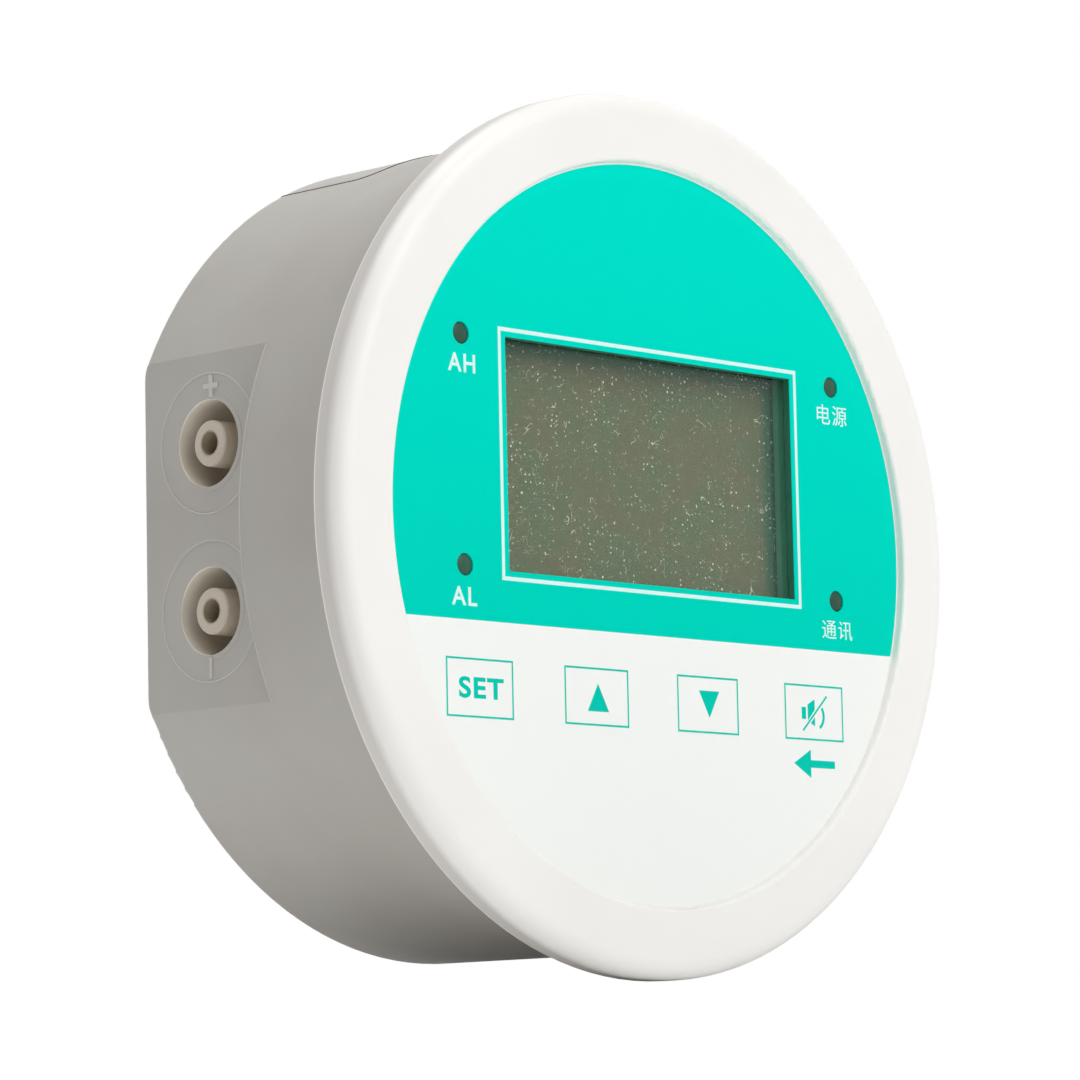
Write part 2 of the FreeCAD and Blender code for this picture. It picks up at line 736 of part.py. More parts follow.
def main_board():
    """A board with round ends and straight sides, which clears the housing's columns."""
    disc = rod("main_board_disc", "main_board_radius", "0", MAIN_BOARD, "0", "board_thickness")
    strip = block("main_board_strip", "0", MAIN_BOARD, "0", "main_board_width", "board_thickness",
                  "2 * main_board_radius")
    both = doc.addObject("Part::Common", "main_board_blank")
    both.Base = disc
    both.Tool = strip
    holes = [rod("main_board_hole", "thread_radius + board_hole_gap", across, MAIN_BOARD, rise,
                 "board_thickness") for across, rise in corner_places("spacer_across", SPACER_RISE)]
    node(cut("main_board", both, *holes), "main_board")


def spacer(across, rise):
    """A hexagonal spacer between the boards, with a stud in front and a tapped bore behind."""
    bar = doc.addObject("Part::Prism", "spacer_bar")
    bar.Placement.Rotation = TOWARDS_BACK
    bind(bar, {"Circumradius": "spacer_flats / sqrt(3)", "Height": "board_gap"})
    place(bar, across, DISPLAY_BOARD_BACK, rise)
    stud = rod("spacer_stud", "thread_radius", across, f"{DISPLAY_BOARD_BACK} - spacer_stud_length",
               rise, "spacer_stud_length")
    bore = rod("spacer_bore", PILOT_BORE, across, f"{MAIN_BOARD} - screw_shank_length", rise,
               "screw_shank_length")
    return cut("spacer", fuse("spacer_blank", bar, stud), bore)


def board_fasteners():
    """The four spacers and the four screws behind the main board."""
    places = corner_places("spacer_across", SPACER_RISE)
    node(loose_set("board_spacers", [spacer(*spot) for spot in places]), "board_spacers")
    head_end = f"({MAIN_BOARD_BACK} + screw_head_thickness)"
    reach = "screw_shank_length + board_thickness - thread_gap"
    screws = [screw("board_screw", across, rise, head_end, reach) for across, rise in places]
    node(loose_set("board_screws", screws), "board_screws")


def board_parts():
    """The link between the boards, and what stands on the main board."""
    link = block("board_link", "0", DISPLAY_BOARD_BACK, LINK_RISE, "link_width", "board_gap",
                 "link_height")
    node(link, "board_link")
    chip = block("processor", "processor_across", f"{MAIN_BOARD} - processor_thickness",
                 "processor_rise", "processor_width", "processor_thickness", "processor_width")
    node(chip, "processor")
    can_face = f"({MAIN_BOARD} - buzzer_thickness)"
    can = rod("buzzer_can", "buzzer_radius", "buzzer_across", can_face, "-buzzer_drop",
              "buzzer_thickness")
    mouth = rod("buzzer_mouth", "buzzer_hole_radius", "buzzer_across", can_face, "-buzzer_drop",
                "buzzer_hole_depth")
    node(cut("buzzer", can, mouth), "buzzer")
    for name, level in PORTS.items():
        relay = block(name + "_relay", "relay_across", MAIN_BOARD_BACK,
                      f"{LOWEST_RELAY} + ({level} + 1) * relay_pitch / 2", "relay_width",
                      "relay_depth", "relay_height")
        node(relay, name + "_relay")
    supply = block("power_module", "power_across", MAIN_BOARD_BACK, "power_rise", "power_width",
                   "power_depth", "power_height")
    node(supply, "power_module")


# ---------------------------------------------------------------- pressure side
def port_rise(level):
    """The height of the upper or lower port."""
    return f"port_rise + {level} * port_pitch / 2"


def barb_rise(level):
    """The height of the sensor's upper or lower barb."""
    return f"port_rise + {level} * barb_pitch / 2"


def port(name, level):
    """A turned-looking cup with a nozzle in it and a tail behind, axis along X."""
    body = new_body(name + "_port")
    tail_end = f"({CUP_BACK} + tail_length)"
    flange_radius = f"({CUP_OUTSIDE} + cup_flange)"
    flange_back = "(body_wall + cup_flange_thickness)"
    turn(body, outline(sketch(body, "XY_Plane"), (
        ("nozzle_sink", "nozzle_bore"), ("nozzle_sink", "nozzle_radius"),
        ("cup_depth", "nozzle_radius"), ("cup_depth", "cup_radius"),
        ("0", "cup_radius"), ("0", CUP_OUTSIDE), ("body_wall", CUP_OUTSIDE),
        ("body_wall", flange_radius), (flange_back, flange_radius), (flange_back, CUP_OUTSIDE),
        (CUP_BACK, CUP_OUTSIDE), (CUP_BACK, "tail_radius"), (tail_end, "tail_radius"),
        (tail_end, "tail_bore"), ("cup_depth", "tail_bore"), ("cup_depth", "nozzle_bore"))),
        axis="H_Axis")
    round_off(body, "nozzle_round", lambda edge: is_ring(edge, "nozzle_radius", "x", "nozzle_sink"))
    round_off(body, "cup_round", lambda edge: is_ring(edge, "cup_radius", "x", "0"))
    place(body, "-port_flat", "port_setback", port_rise(level))


def pressure_sensor():
    """The sensor on the main board, with a barb for each tube."""
    middle = ("sensor_across", "port_rise")
    case = block("sensor_case", middle[0], MAIN_BOARD_BACK, middle[1], "sensor_width",
                 "sensor_depth", "sensor_height")
    barbs = []
    for name, level in PORTS.items():
        barb = doc.addObject("Part::Cylinder", name + "_barb")
        barb.Placement.Rotation = FreeCAD.Rotation(FreeCAD.Vector(0, 1, 0), -90)
        bind(barb, {"Radius": "tail_radius", "Height": "barb_length"})
        barbs.append(place(barb, "sensor_across - sensor_width / 2", "port_setback", barb_rise(level)))
    node(fuse("pressure_sensor", case, *barbs), "pressure_sensor")


def tube(name, level):
    """A soft tube from a port's tail to a barb of the sensor, swept along an S-bend."""
    body = new_body(name + "_tube")
    start = f"({CUP_BACK} + tube_end_gap - port_flat)"
    end = "(sensor_across - sensor_width / 2 - tube_end_gap)"
    path = s_bend(sketch(body, "XZ_Plane", "port_setback"),
                  (start, port_rise(level)), (end, barb_rise(level)), level)
    section = sketch(body, "YZ_Plane", start)
    circle(section, "tail_radius + tube_wall", "port_setback", port_rise(level))
    circle(section, "tail_radius", "port_setback", port_rise(level))
    doc.recompute()
    pipe = body.newObject("PartDesign::AdditivePipe", body.Name + "_sweep")
    pipe.Profile = section
    pipe.Spine = (path, [f"Edge{n}" for n in range(1, len(path.Shape.Edges) + 1)])


def s_bend(path, start, end, side):
    """Two level runs joined by two equal arcs and the straight line that touches both.

    side is 1 where the path comes down on its way and -1 where it goes up.
    """
    bend = amount("tube_bend")
    turn_out = (amount(f"{start[0]} + tube_lead_out"), amount(start[1]))
    turn_in = (amount(f"{end[0]} - tube_lead_in"), amount(end[1]))
    run = turn_in[0] - turn_out[0]
    drop = side * (turn_out[1] - turn_in[1])
    straight = math.sqrt(run ** 2 + (drop - 2 * bend) ** 2 - 4 * bend ** 2)
    angle = math.atan2(drop - 2 * bend, run) + math.atan2(2 * bend, straight)
    step = (bend * math.sin(angle), side * bend * (1 - math.cos(angle)))
    spots = [
        (amount(start[0]), turn_out[1]), turn_out,
        (turn_out[0] + step[0], turn_out[1] - step[1]),
        (turn_in[0] - step[0], turn_in[1] + step[1]), turn_in,
        (amount(end[0]), turn_in[1]),
    ]
    half = (bend * math.sin(angle / 2), side * bend * (1 - math.cos(angle / 2)))
    mids = {1: (turn_out[0] + half[0], turn_out[1] - half[1]),
            3: (turn_in[0] - half[0], turn_in[1] + half[1])}
    for index in range(5):
        ends = [FreeCAD.Vector(*spot, 0) for spot in spots[index:index + 2]]
        if index in mids:
            path.addGeometry(Part.Arc(ends[0], FreeCAD.Vector(*mids[index], 0), ends[1]), False)
        else:
            path.addGeometry(Part.LineSegment(*ends), False)
    # An arc runs anticlockwise, so its first and last points swap where the path turns right.
    first_end = {0: (1, 2), 1: (2, 1) if side > 0 else (1, 2), 2: (1, 2),
                 3: (1, 2) if side > 0 else (2, 1), 4: (1, 2)}
    for index in range(4):
        path.addConstraint(Sketcher.Constraint("Tangent", index, first_end[index][1],
                                               index + 1, first_end[index + 1][0]))
    path.addConstraint(Sketcher.Constraint("Horizontal", 0))
    path.addConstraint(Sketcher.Constraint("Horizontal", 4))
    for arc_index in mids:
        hold(path, "Radius", "tube_bend", arc_index)
    hold(path, "DistanceX", start[0], -1, 1, 0, 1)
    hold(path, "DistanceY", start[1], -1, 1, 0, 1)
    hold(path, "DistanceX", f"{start[0]} + tube_lead_out", -1, 1, 0, 2)
    hold(path, "DistanceX", f"{end[0]} - tube_lead_in", -1, 1, 4, 1)
    hold(path, "DistanceX", end[0], -1, 1, 4, 2)
    hold(path, "DistanceY", end[1], -1, 1, 4, 2)
    return path


# ---------------------------------------------------------------- housing
def rear_housing():
    """The round moulded housing: shell, port flat, wiring bay, columns and insert bosses."""
    body = new_body("rear_housing")
    add(body, circle(sketch(body, "XZ_Plane"), "body_radius"), "flat_start")
    rear = sketch(body, "XZ_Plane", "flat_start")
    add(body, flattened_circle(rear, "body_radius", "port_flat"), "body_depth - flat_start")
    round_off(body, "rear_round", lambda edge: is_ring(edge, "body_radius", "y", "body_depth"))
    step = "(flat_start - body_wall)"
    remove(body, circle(sketch(body, "XZ_Plane"), HOUSING_BORE), step)
    deep = sketch(body, "XZ_Plane", step)
    remove(body, flattened_circle(deep, HOUSING_BORE, "port_flat - body_wall"), f"{FLOOR} - {step}")
    wiring_bay(body)
    housing_columns(body)
    insert_bosses(body)
    port_openings(body)


def wiring_bay(body):
    """A walled bay behind the main board, open at the top and the back under its cover."""
    front_wall = "(cover_start - bay_wall)"
    walls = sketch(body, "XZ_Plane", front_wall)
    arch(walls, "cover_half_width + bay_wall", "cover_bottom - bay_wall",
         "(body_radius + body_radius - body_wall) / 2")
    add(body, walls, f"{FLOOR} - {front_wall}")
    beyond = "2 * body_radius"
    hollow = arch(sketch(body, "XZ_Plane", BAY_FRONT), BAY_HALF_WIDTH, BAY_FLOOR, beyond)
    remove(body, hollow, f"body_depth - {BAY_FRONT}")
    ledge = sketch(body, "XZ_Plane", "cover_start - cover_gap")
    curved_strip(ledge, "cover_half_width + cover_gap", f"{COVER_INSIDE} - cover_gap", beyond)
    remove(body, ledge, "body_depth - cover_start + cover_gap")
    corner = "(cover_half_width + cover_gap)"
    round_off(body, "cover_corner + cover_gap",
              lambda edge: is_upright(edge, corner, "cover_start - cover_gap"))
    seat = arch(sketch(body, "XZ_Plane", COVER_SEAT), corner, "cover_bottom - cover_gap", beyond)
    remove(body, seat, f"body_depth - {COVER_SEAT}")
    slot = sketch(body, "XZ_Plane", front_wall)
    rectangle(slot, "0", "terminal_rise", f"{TERMINAL_WIDTH} + 2 * terminal_gap",
              "terminal_height + 2 * terminal_gap")
    remove(body, slot, f"{BAY_FRONT} - {front_wall}")
    bosses = sketch(body, "XZ_Plane", BAY_FRONT)
    pilots = sketch(body, "XZ_Plane", f"{COVER_SEAT} - cover_screw_length")
    for side in (-1, 1):
        circle(bosses, "cover_boss_radius", f"{side} * cover_screw_across", "cover_screw_rise")
        circle(pilots, PILOT_BORE, f"{side} * cover_screw_across", "cover_screw_rise")
    add(body, bosses, f"{COVER_SEAT} - {BAY_FRONT}")
    remove(body, pilots, "cover_screw_length")


def is_upright(edge, across, back):
    """Whether an edge is straight and runs up at this distance either side and this far back."""
    if not isinstance(edge.Curve, Part.Line):
        return False
    return all(abs(abs(end.Point.x) - amount(across)) < TOLERANCE
               and abs(end.Point.y - amount(back)) < TOLERANCE for end in edge.Vertexes)


def housing_columns(body):
    """Four columns that take the long screws, each with a deep counterbore."""
    start = "(boss_reach + column_gap)"
    post = circle(sketch(body, "XZ_Plane", start), "column_radius", COLUMN_PLACE, COLUMN_PLACE)
    ring_of(body, [add(body, post, f"{FLOOR} - {start}")], "4")
    bore = circle(sketch(body, "XZ_Plane", start), PLAIN_BORE, COLUMN_PLACE, COLUMN_PLACE)
    ring_of(body, [remove(body, bore, f"body_depth - {start}")], "4")
    well = circle(sketch(body, "XZ_Plane", "screw_seat"), COUNTERBORE, COLUMN_PLACE, COLUMN_PLACE)
    ring_of(body, [remove(body, well, "body_depth - screw_seat")], "4")


def insert_bosses(body):
    """Bosses on the inside of the back, evenly spaced from the bottom, for the inserts."""
    start = "(body_depth - insert_length - insert_boss_wall)"
    boss = sketch(body, "XZ_Plane", start)
    circle(boss, "insert_radius + insert_boss_wall", "0", "-insert_circle")
    ring_of(body, [add(body, boss, f"{FLOOR} - {start}")], "insert_count")
    hole = circle(sketch(body, "XZ_Plane", "body_depth - insert_length"), "insert_radius",
                  "0", "-insert_circle")
    ring_of(body, [remove(body, hole, "insert_length")], "insert_count")


def port_openings(body):
    """The holes for the port cups and the fine ring around each."""
    holes = sketch(body, "YZ_Plane", "-port_flat")
    rings = sketch(body, "YZ_Plane", "-port_flat")
    for level in PORTS.values():
        circle(holes, f"{CUP_OUTSIDE} + cup_gap", "port_setback", port_rise(level))
        circle(rings, "ring_radius + ring_width / 2", "port_setback", port_rise(level))
        circle(rings, "ring_radius - ring_width / 2", "port_setback", port_rise(level))
    remove(body, holes, "body_wall")
    remove(body, rings, "ring_sink")


def housing_fasteners():
    """The four long screws and the brass inserts in the back."""
    head_end = "(screw_seat + screw_head_thickness)"
    screws = [screw("housing_screw", across, rise, head_end, "screw_seat - screw_tip - thread_gap")
              for across, rise in corner_places(COLUMN_PLACE, COLUMN_PLACE)]
    node(loose_set("housing_screws", screws), "housing_screws")
    body = new_body("mount_inserts")
    sleeve = sketch(body, "XZ_Plane", "body_depth - insert_length")
    circle(sleeve, "insert_radius", "0", "-insert_circle")
    circle(sleeve, "insert_bore", "0", "-insert_circle")
    ring_of(body, [add(body, sleeve, "insert_length")], "insert_count")


# ---------------------------------------------------------------- wiring bay parts
def terminal_cover():
    """The cover of the bay: a curved skin over the top that turns down over the back."""
    body = new_body("terminal_cover")
    skin = sketch(body, "XZ_Plane", "cover_start")
    add(body, curved_strip(skin, "cover_half_width", COVER_INSIDE, "body_radius"),
        "body_depth - cover_start")
    back = arch(sketch(body, "XZ_Plane", FLOOR), "cover_half_width", "cover_bottom", "body_radius")
    add(body, back, f"body_depth - {FLOOR}")
    round_off(body, "cover_corner", lambda edge: is_upright(edge, "cover_half_width", "cover_start"))
    round_off(body, "rear_round", lambda edge: is_ring(edge, "body_radius", "y", "body_depth"))
    holes = sketch(body, "XZ_Plane", FLOOR)
    wells = sketch(body, "XZ_Plane", "body_depth - cover_head_sink")
    for side in (-1, 1):
        circle(holes, PLAIN_BORE, f"{side} * cover_screw_across", "cover_screw_rise")
        circle(wells, COUNTERBORE, f"{side} * cover_screw_across", "cover_screw_rise")
    circle(holes, "grommet_neck", "0", "grommet_rise")
    remove(body, holes, f"body_depth - {FLOOR}")
    remove(body, wells, "cover_head_sink")


def cover_screws():
    """The two screws that hold the cover, captive in it."""
    head = ("screw_head_radius", "cover_head_sink")
    reach = f"cover_screw_length + body_depth - cover_head_sink - {COVER_SEAT} - thread_gap"
    screws = [screw("cover_screw", f"{side} * cover_screw_across", "cover_screw_rise",
                    "body_depth", reach, head) for side in (-1, 1)]
    node(loose_set("cover_screws", screws), "cover_screws")


def cable_grommet():
    """A rubber grommet in the cover's back, turned about its own axis."""
    body = new_body("cable_grommet")
    inner, outer = f"({FLOOR} - grommet_flange_thickness)", "(body_depth + grommet_flange_thickness)"
    rim = "(grommet_neck + grommet_flange)"
    turn(body, outline(sketch(body, "XY_Plane"), (
        ("grommet_bore", inner), (rim, inner), (rim, FLOOR), ("grommet_neck", FLOOR),
        ("grommet_neck", "body_depth"), (rim, "body_depth"), (rim, outer),
        ("grommet_bore", outer))))
    place(body, rise="grommet_rise")


def terminal_block():
    """A row of screw terminals: a profile along X with a wire entry and a screw well a pole."""
    body = new_body("terminal_block")
    low, high = "(terminal_rise - terminal_height / 2)", "(terminal_rise + terminal_height / 2)"
    nose = f"({TERMINAL_BACK} - terminal_nose)"
    side = outline(sketch(body, "YZ_Plane", f"-{TERMINAL_WIDTH} / 2"), (
        (MAIN_BOARD_BACK, low), (nose, low), (TERMINAL_BACK, f"{low} + terminal_nose"),
        (TERMINAL_BACK, f"{high} - terminal_nose"), (nose, high), (MAIN_BOARD_BACK, high)))
    add(body, side, TERMINAL_WIDTH)
    first = f"(terminal_pitch - {TERMINAL_WIDTH}) / 2"
    spread = f"{TERMINAL_WIDTH} - terminal_pitch"
    entry = sketch(body, "XY_Plane", low)
    rectangle(entry, first, f"{TERMINAL_BACK} - terminal_entry_setback", "terminal_entry",
              "terminal_entry")
    row_of(body, [remove(body, entry, "terminal_entry")], spread, "terminal_poles")
    well = sketch(body, "XZ_Plane", f"{TERMINAL_BACK} - terminal_screw_length - terminal_screw_sink")
    circle(well, "terminal_screw_radius + thread_gap", first, "terminal_rise")
    row_of(body, [remove(body, well, "terminal_screw_length + terminal_screw_sink")], spread,
           "terminal_poles")
    terminal_screws(first, spread)


def terminal_screws(first, spread):
    """A slotted screw in each well of the terminal block."""
    body = new_body("terminal_screws")
    head_end = f"({TERMINAL_BACK} - terminal_screw_sink)"
    bar = sketch(body, "XZ_Plane", f"{head_end} - terminal_screw_length")
    circle(bar, "terminal_screw_radius", first, "terminal_rise")
    barrel = add(body, bar, "terminal_screw_length")
    groove = sketch(body, "XZ_Plane", f"{head_end} - terminal_slot")
    rectangle(groove, first, "terminal_rise", "2 * terminal_screw_radius + terminal_slot",
              "terminal_slot")
    slot = remove(body, groove, "terminal_slot")
    row_of(body, [barrel, slot], spread, "terminal_poles")


# ---------------------------------------------------------------- check and export
EXPORT_FOLDER = "parts"


def check_model():
    """Stop with a plain message if anything in the document has failed."""
    for thing in doc.Objects:
        if {"Invalid", "Error"} & set(thing.State):
            raise RuntimeError(f"{thing.Label} is {thing.State}")
        if thing.TypeId == "PartDesign::Pocket" and thing.BaseFeature is not None:
            if thing.Shape.Volume > thing.BaseFeature.Shape.Volume - TOLERANCE:
                raise RuntimeError(f"{thing.Label} cuts nothing")
    for thing in nodes:
        if thing.Shape.isNull() or not thing.Shape.isValid() or not thing.Shape.Solids:
            raise RuntimeError(f"{thing.Label} has no sound solid")


def export():
    """Write each sub-part to its own STEP file."""
    os.makedirs(EXPORT_FOLDER, exist_ok=True)
    for thing in nodes:
        thing.Shape.exportStep(f"{EXPORT_FOLDER}/{thing.Label}.step")


front_bezel()
front_label()
front_seal()
display()
for lamp_name in LAMPS:
    lamp(lamp_name)
for key_index, key_name in enumerate(KEYS):
    key(key_name, key_index)
display_board()
main_board()
board_fasteners()
board_parts()
for port_name, port_level in PORTS.items():
    port(port_name, port_level)
    tube(port_name, port_level)
pressure_sensor()
rear_housing()
housing_fasteners()
terminal_cover()
cover_screws()
cable_grommet()
terminal_block()
doc.recompute()
check_model()
export()
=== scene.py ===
# %% [markdown]
# # A round panel-mounted pressure transmitter
#
# A white bezel with a printed film, a display and four keys sits in front of a round grey
# housing, which has two hose ports in a flat at its side and a wiring bay at its back. The solids
# come from a CAD model. They are loaded first and never changed. This lesson gives each of them
# its finish and adds what CAD leaves out: the print, the raised marks beside the ports, the
# threads in the back and the numbers on the terminals.

import bpy
import json
import math
from mathutils import Matrix, Vector


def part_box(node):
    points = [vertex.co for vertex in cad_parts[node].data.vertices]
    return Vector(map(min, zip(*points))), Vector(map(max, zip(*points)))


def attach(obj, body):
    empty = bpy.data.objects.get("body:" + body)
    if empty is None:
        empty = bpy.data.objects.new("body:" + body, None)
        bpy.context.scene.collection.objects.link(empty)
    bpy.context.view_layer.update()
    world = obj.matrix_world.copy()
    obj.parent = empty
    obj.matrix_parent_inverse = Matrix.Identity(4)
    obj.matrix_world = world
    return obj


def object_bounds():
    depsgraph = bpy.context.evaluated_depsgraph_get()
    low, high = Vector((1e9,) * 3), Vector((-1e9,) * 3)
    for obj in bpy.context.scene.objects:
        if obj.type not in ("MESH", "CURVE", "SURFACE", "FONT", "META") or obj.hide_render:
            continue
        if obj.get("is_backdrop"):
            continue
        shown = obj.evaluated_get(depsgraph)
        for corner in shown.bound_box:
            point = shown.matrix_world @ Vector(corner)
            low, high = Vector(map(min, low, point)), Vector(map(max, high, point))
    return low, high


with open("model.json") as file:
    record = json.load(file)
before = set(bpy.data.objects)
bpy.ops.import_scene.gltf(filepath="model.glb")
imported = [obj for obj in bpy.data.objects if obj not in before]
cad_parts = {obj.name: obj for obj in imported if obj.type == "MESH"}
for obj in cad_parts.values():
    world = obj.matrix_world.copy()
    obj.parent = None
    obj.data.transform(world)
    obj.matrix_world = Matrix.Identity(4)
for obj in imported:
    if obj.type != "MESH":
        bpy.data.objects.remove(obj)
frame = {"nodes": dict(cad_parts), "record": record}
nodes = frame["nodes"]
cad_low, cad_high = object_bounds()
MM = 0.001
print(f"{len(nodes)} CAD nodes, {tuple(round(side, 4) for side in cad_high - cad_low)} m over all")

# %% [markdown]
# Print has to lie exactly on the film, and a mark exactly on the housing's flat, so their places
# are read from the CAD nodes. A node's object stands at the origin and its place is in its mesh,
# which is why the corners of its box are asked for.


# %% Measure where things are
def middle(node):
    """The centre of a CAD node's box."""
    low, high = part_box(node)
    return (low + high) / 2


KEYS = ("set", "up", "down", "mute")
LAMPS = ("high_alarm", "low_alarm", "power", "link")
key_places = {key: middle(key + "_key") for key in KEYS}
lamp_places = {lamp: middle(lamp + "_lamp") for lamp in LAMPS}
film_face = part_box("front_label")[0].y
pane_low, pane_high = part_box("display_window")
print(f"the film's face is at y {film_face:.4f}, the pane is {pane_high.x - pane_low.x:.4f} wide")

# %% [markdown]
# ## Camera
#
# The camera comes before the finishes, because a finish is judged from where it is seen. It looks
# from the port side and from a little below. It is far away and has a long lens, so the round
# front becomes a calm ellipse. Its three axes are worked out from its turn, rise and roll, and
# together they are the columns of its rotation.

# %% Place the camera
TURN, RISE, ROLL = (math.radians(angle) for angle in (-46.08, -7.06, -1.18))
CAMERA_DISTANCE = 654.0 * MM
AIM_RIGHT, AIM_UP = -16.05 * MM, -0.89 * MM
LENS = 159.2

backwards = Vector((math.sin(TURN) * math.cos(RISE), -math.cos(TURN) * math.cos(RISE), math.sin(RISE)))
level_right = Vector((math.cos(TURN), math.sin(TURN), 0))
level_up = backwards.cross(level_right)
right = level_right * math.cos(ROLL) + level_up * math.sin(ROLL)
up = level_up * math.cos(ROLL) - level_right * math.sin(ROLL)
aim = Vector((0, film_face, 0)) + right * AIM_RIGHT + up * AIM_UP

camera_data = bpy.data.cameras.new("camera")
camera_data.lens = LENS
camera_data.sensor_width = 36
camera_data.clip_start = 0.01
camera = bpy.data.objects.new("camera", camera_data)
bpy.context.scene.collection.objects.link(camera)
axes = Matrix((right, up, backwards)).transposed().to_4x4()
camera.matrix_world = Matrix.Translation(aim + backwards * CAMERA_DISTANCE) @ axes
bpy.context.scene.camera = camera
print("camera at", tuple(round(part, 4) for part in camera.matrix_world.translation))

# %% [markdown]
# ## Shared effects
#
# A finish is a tree of nodes. Small helpers keep the trees short to write. They add a node and
# fill its inputs, mix two colours, stretch a value from one range to another, work out a sum, make
# noise, and start a node group. Every pattern reads Object coordinates, so it stays on the piece
# when the piece moves.


# %% Helpers for node trees
def wire(tree, kind, inputs=None, **settings):
    """Add a node, set its properties, then fill its inputs with values or links."""
    node = tree.nodes.new(kind)
    for name, value in settings.items():
        setattr(node, name, value)
    for name, value in (inputs or {}).items():
        if isinstance(value, bpy.types.NodeSocket):
            tree.links.new(value, node.inputs[name])
        else:
            node.inputs[name].default_value = value
    return node


def place_on(tree):
    """The point on the surface in the object's own frame, in metres."""
    return wire(tree, "ShaderNodeTexCoord").outputs["Object"]


def mixed(tree, amount, first, second):
    """A colour between two colours."""
    FACTOR, FIRST, SECOND = 0, 6, 7
    inputs = {FACTOR: amount, FIRST: first, SECOND: second}
    return wire(tree, "ShaderNodeMix", inputs, data_type="RGBA").outputs[2]


def stretched(tree, value, low, high, to_low, to_high):
    """A value taken from one range to another, and held there."""
    inputs = {"Value": value, "From Min": low, "From Max": high, "To Min": to_low, "To Max": to_high}
    return wire(tree, "ShaderNodeMapRange", inputs).outputs["Result"]


def worked_out(tree, operation, first, second=0.0):
    """One sum on two values."""
    return wire(tree, "ShaderNodeMath", {0: first, 1: second}, operation=operation).outputs["Value"]


def noise(tree, scale, detail=2.0, **more):
    """Fractal noise on Object coordinates."""
    inputs = {"Vector": place_on(tree), "Scale": scale, "Detail": detail, **more}
    return wire(tree, "ShaderNodeTexNoise", inputs).outputs["Fac"]


def new_group(name, inputs, outputs):
    """A node group with named sockets: the group, what it is given, and what it puts out."""
    group = bpy.data.node_groups.new(name, "ShaderNodeTree")
    for word, kind, value in inputs:
        socket = group.interface.new_socket(word, in_out="INPUT", socket_type="NodeSocket" + kind)
        socket.default_value = value
    for word, kind in outputs:
        group.interface.new_socket(word, in_out="OUTPUT", socket_type="NodeSocket" + kind)
    given = group.nodes.new("NodeGroupInput").outputs
    return group, given, group.nodes.new("NodeGroupOutput").inputs


print("helpers are ready")

# %% [markdown]
# A mould is spark-eroded, and that leaves a fine grain on all that comes out of it. Handling and
# the flow of the plastic add a slow drift in colour and gloss. The plastics and the inks here
# share this skin, so it is one node group. It puts out a colour, a roughness and a normal, and
# each material feeds them to its own shader.


# %% The moulded skin
def make_moulded_skin():
    """Mould grain, with a slow drift of colour and gloss."""
    group, given, out = new_group("moulded_skin", (
        ("Colour", "Color", (0.8, 0.8, 0.8, 1)), ("Shade", "Color", (0.5, 0.5, 0.5, 1)),
        ("Drift", "Float", 0.1), ("Roughness", "Float", 0.4),
        ("Grain", "Float", 3000.0), ("Depth", "Float", 0.00002),
    ), (("Colour", "Color"), ("Roughness", "Float"), ("Normal", "Vector")))
    cloud = noise(group, 40.0, 4.0)
    amount = worked_out(group, "MULTIPLY", stretched(group, cloud, 0.35, 0.65, 0, 1), given["Drift"])
    group.links.new(mixed(group, amount, given["Colour"], given["Shade"]), out["Colour"])
    rubbed = stretched(group, noise(group, 90.0, 3.0), 0.3, 0.7, 0.9, 1.12)
    group.links.new(worked_out(group, "MULTIPLY", rubbed, given["Roughness"]), out["Roughness"])
    bump = wire(group, "ShaderNodeBump", {
        "Height": noise(group, given["Grain"]), "Distance": given["Depth"], "Strength": 0.6})
    group.links.new(bump.outputs["Normal"], out["Normal"])
    return group


moulded_skin = make_moulded_skin()
print("moulded_skin has", len(moulded_skin.nodes), "nodes")

# %% [markdown]
# Sparse bright specks and a few fine hairs tell a real window from a perfect one. A Voronoi
# texture cuts the face into cells, and where the distance to a cell's centre is small there is a
# speck. Each cell also has a chance colour, which thins the specks out and makes them unequal.
# Hairs lie where a warped noise crosses one value, and only where a second noise allows them. The
# faces that take dust here look along Y, so the cells lie in X and Z.


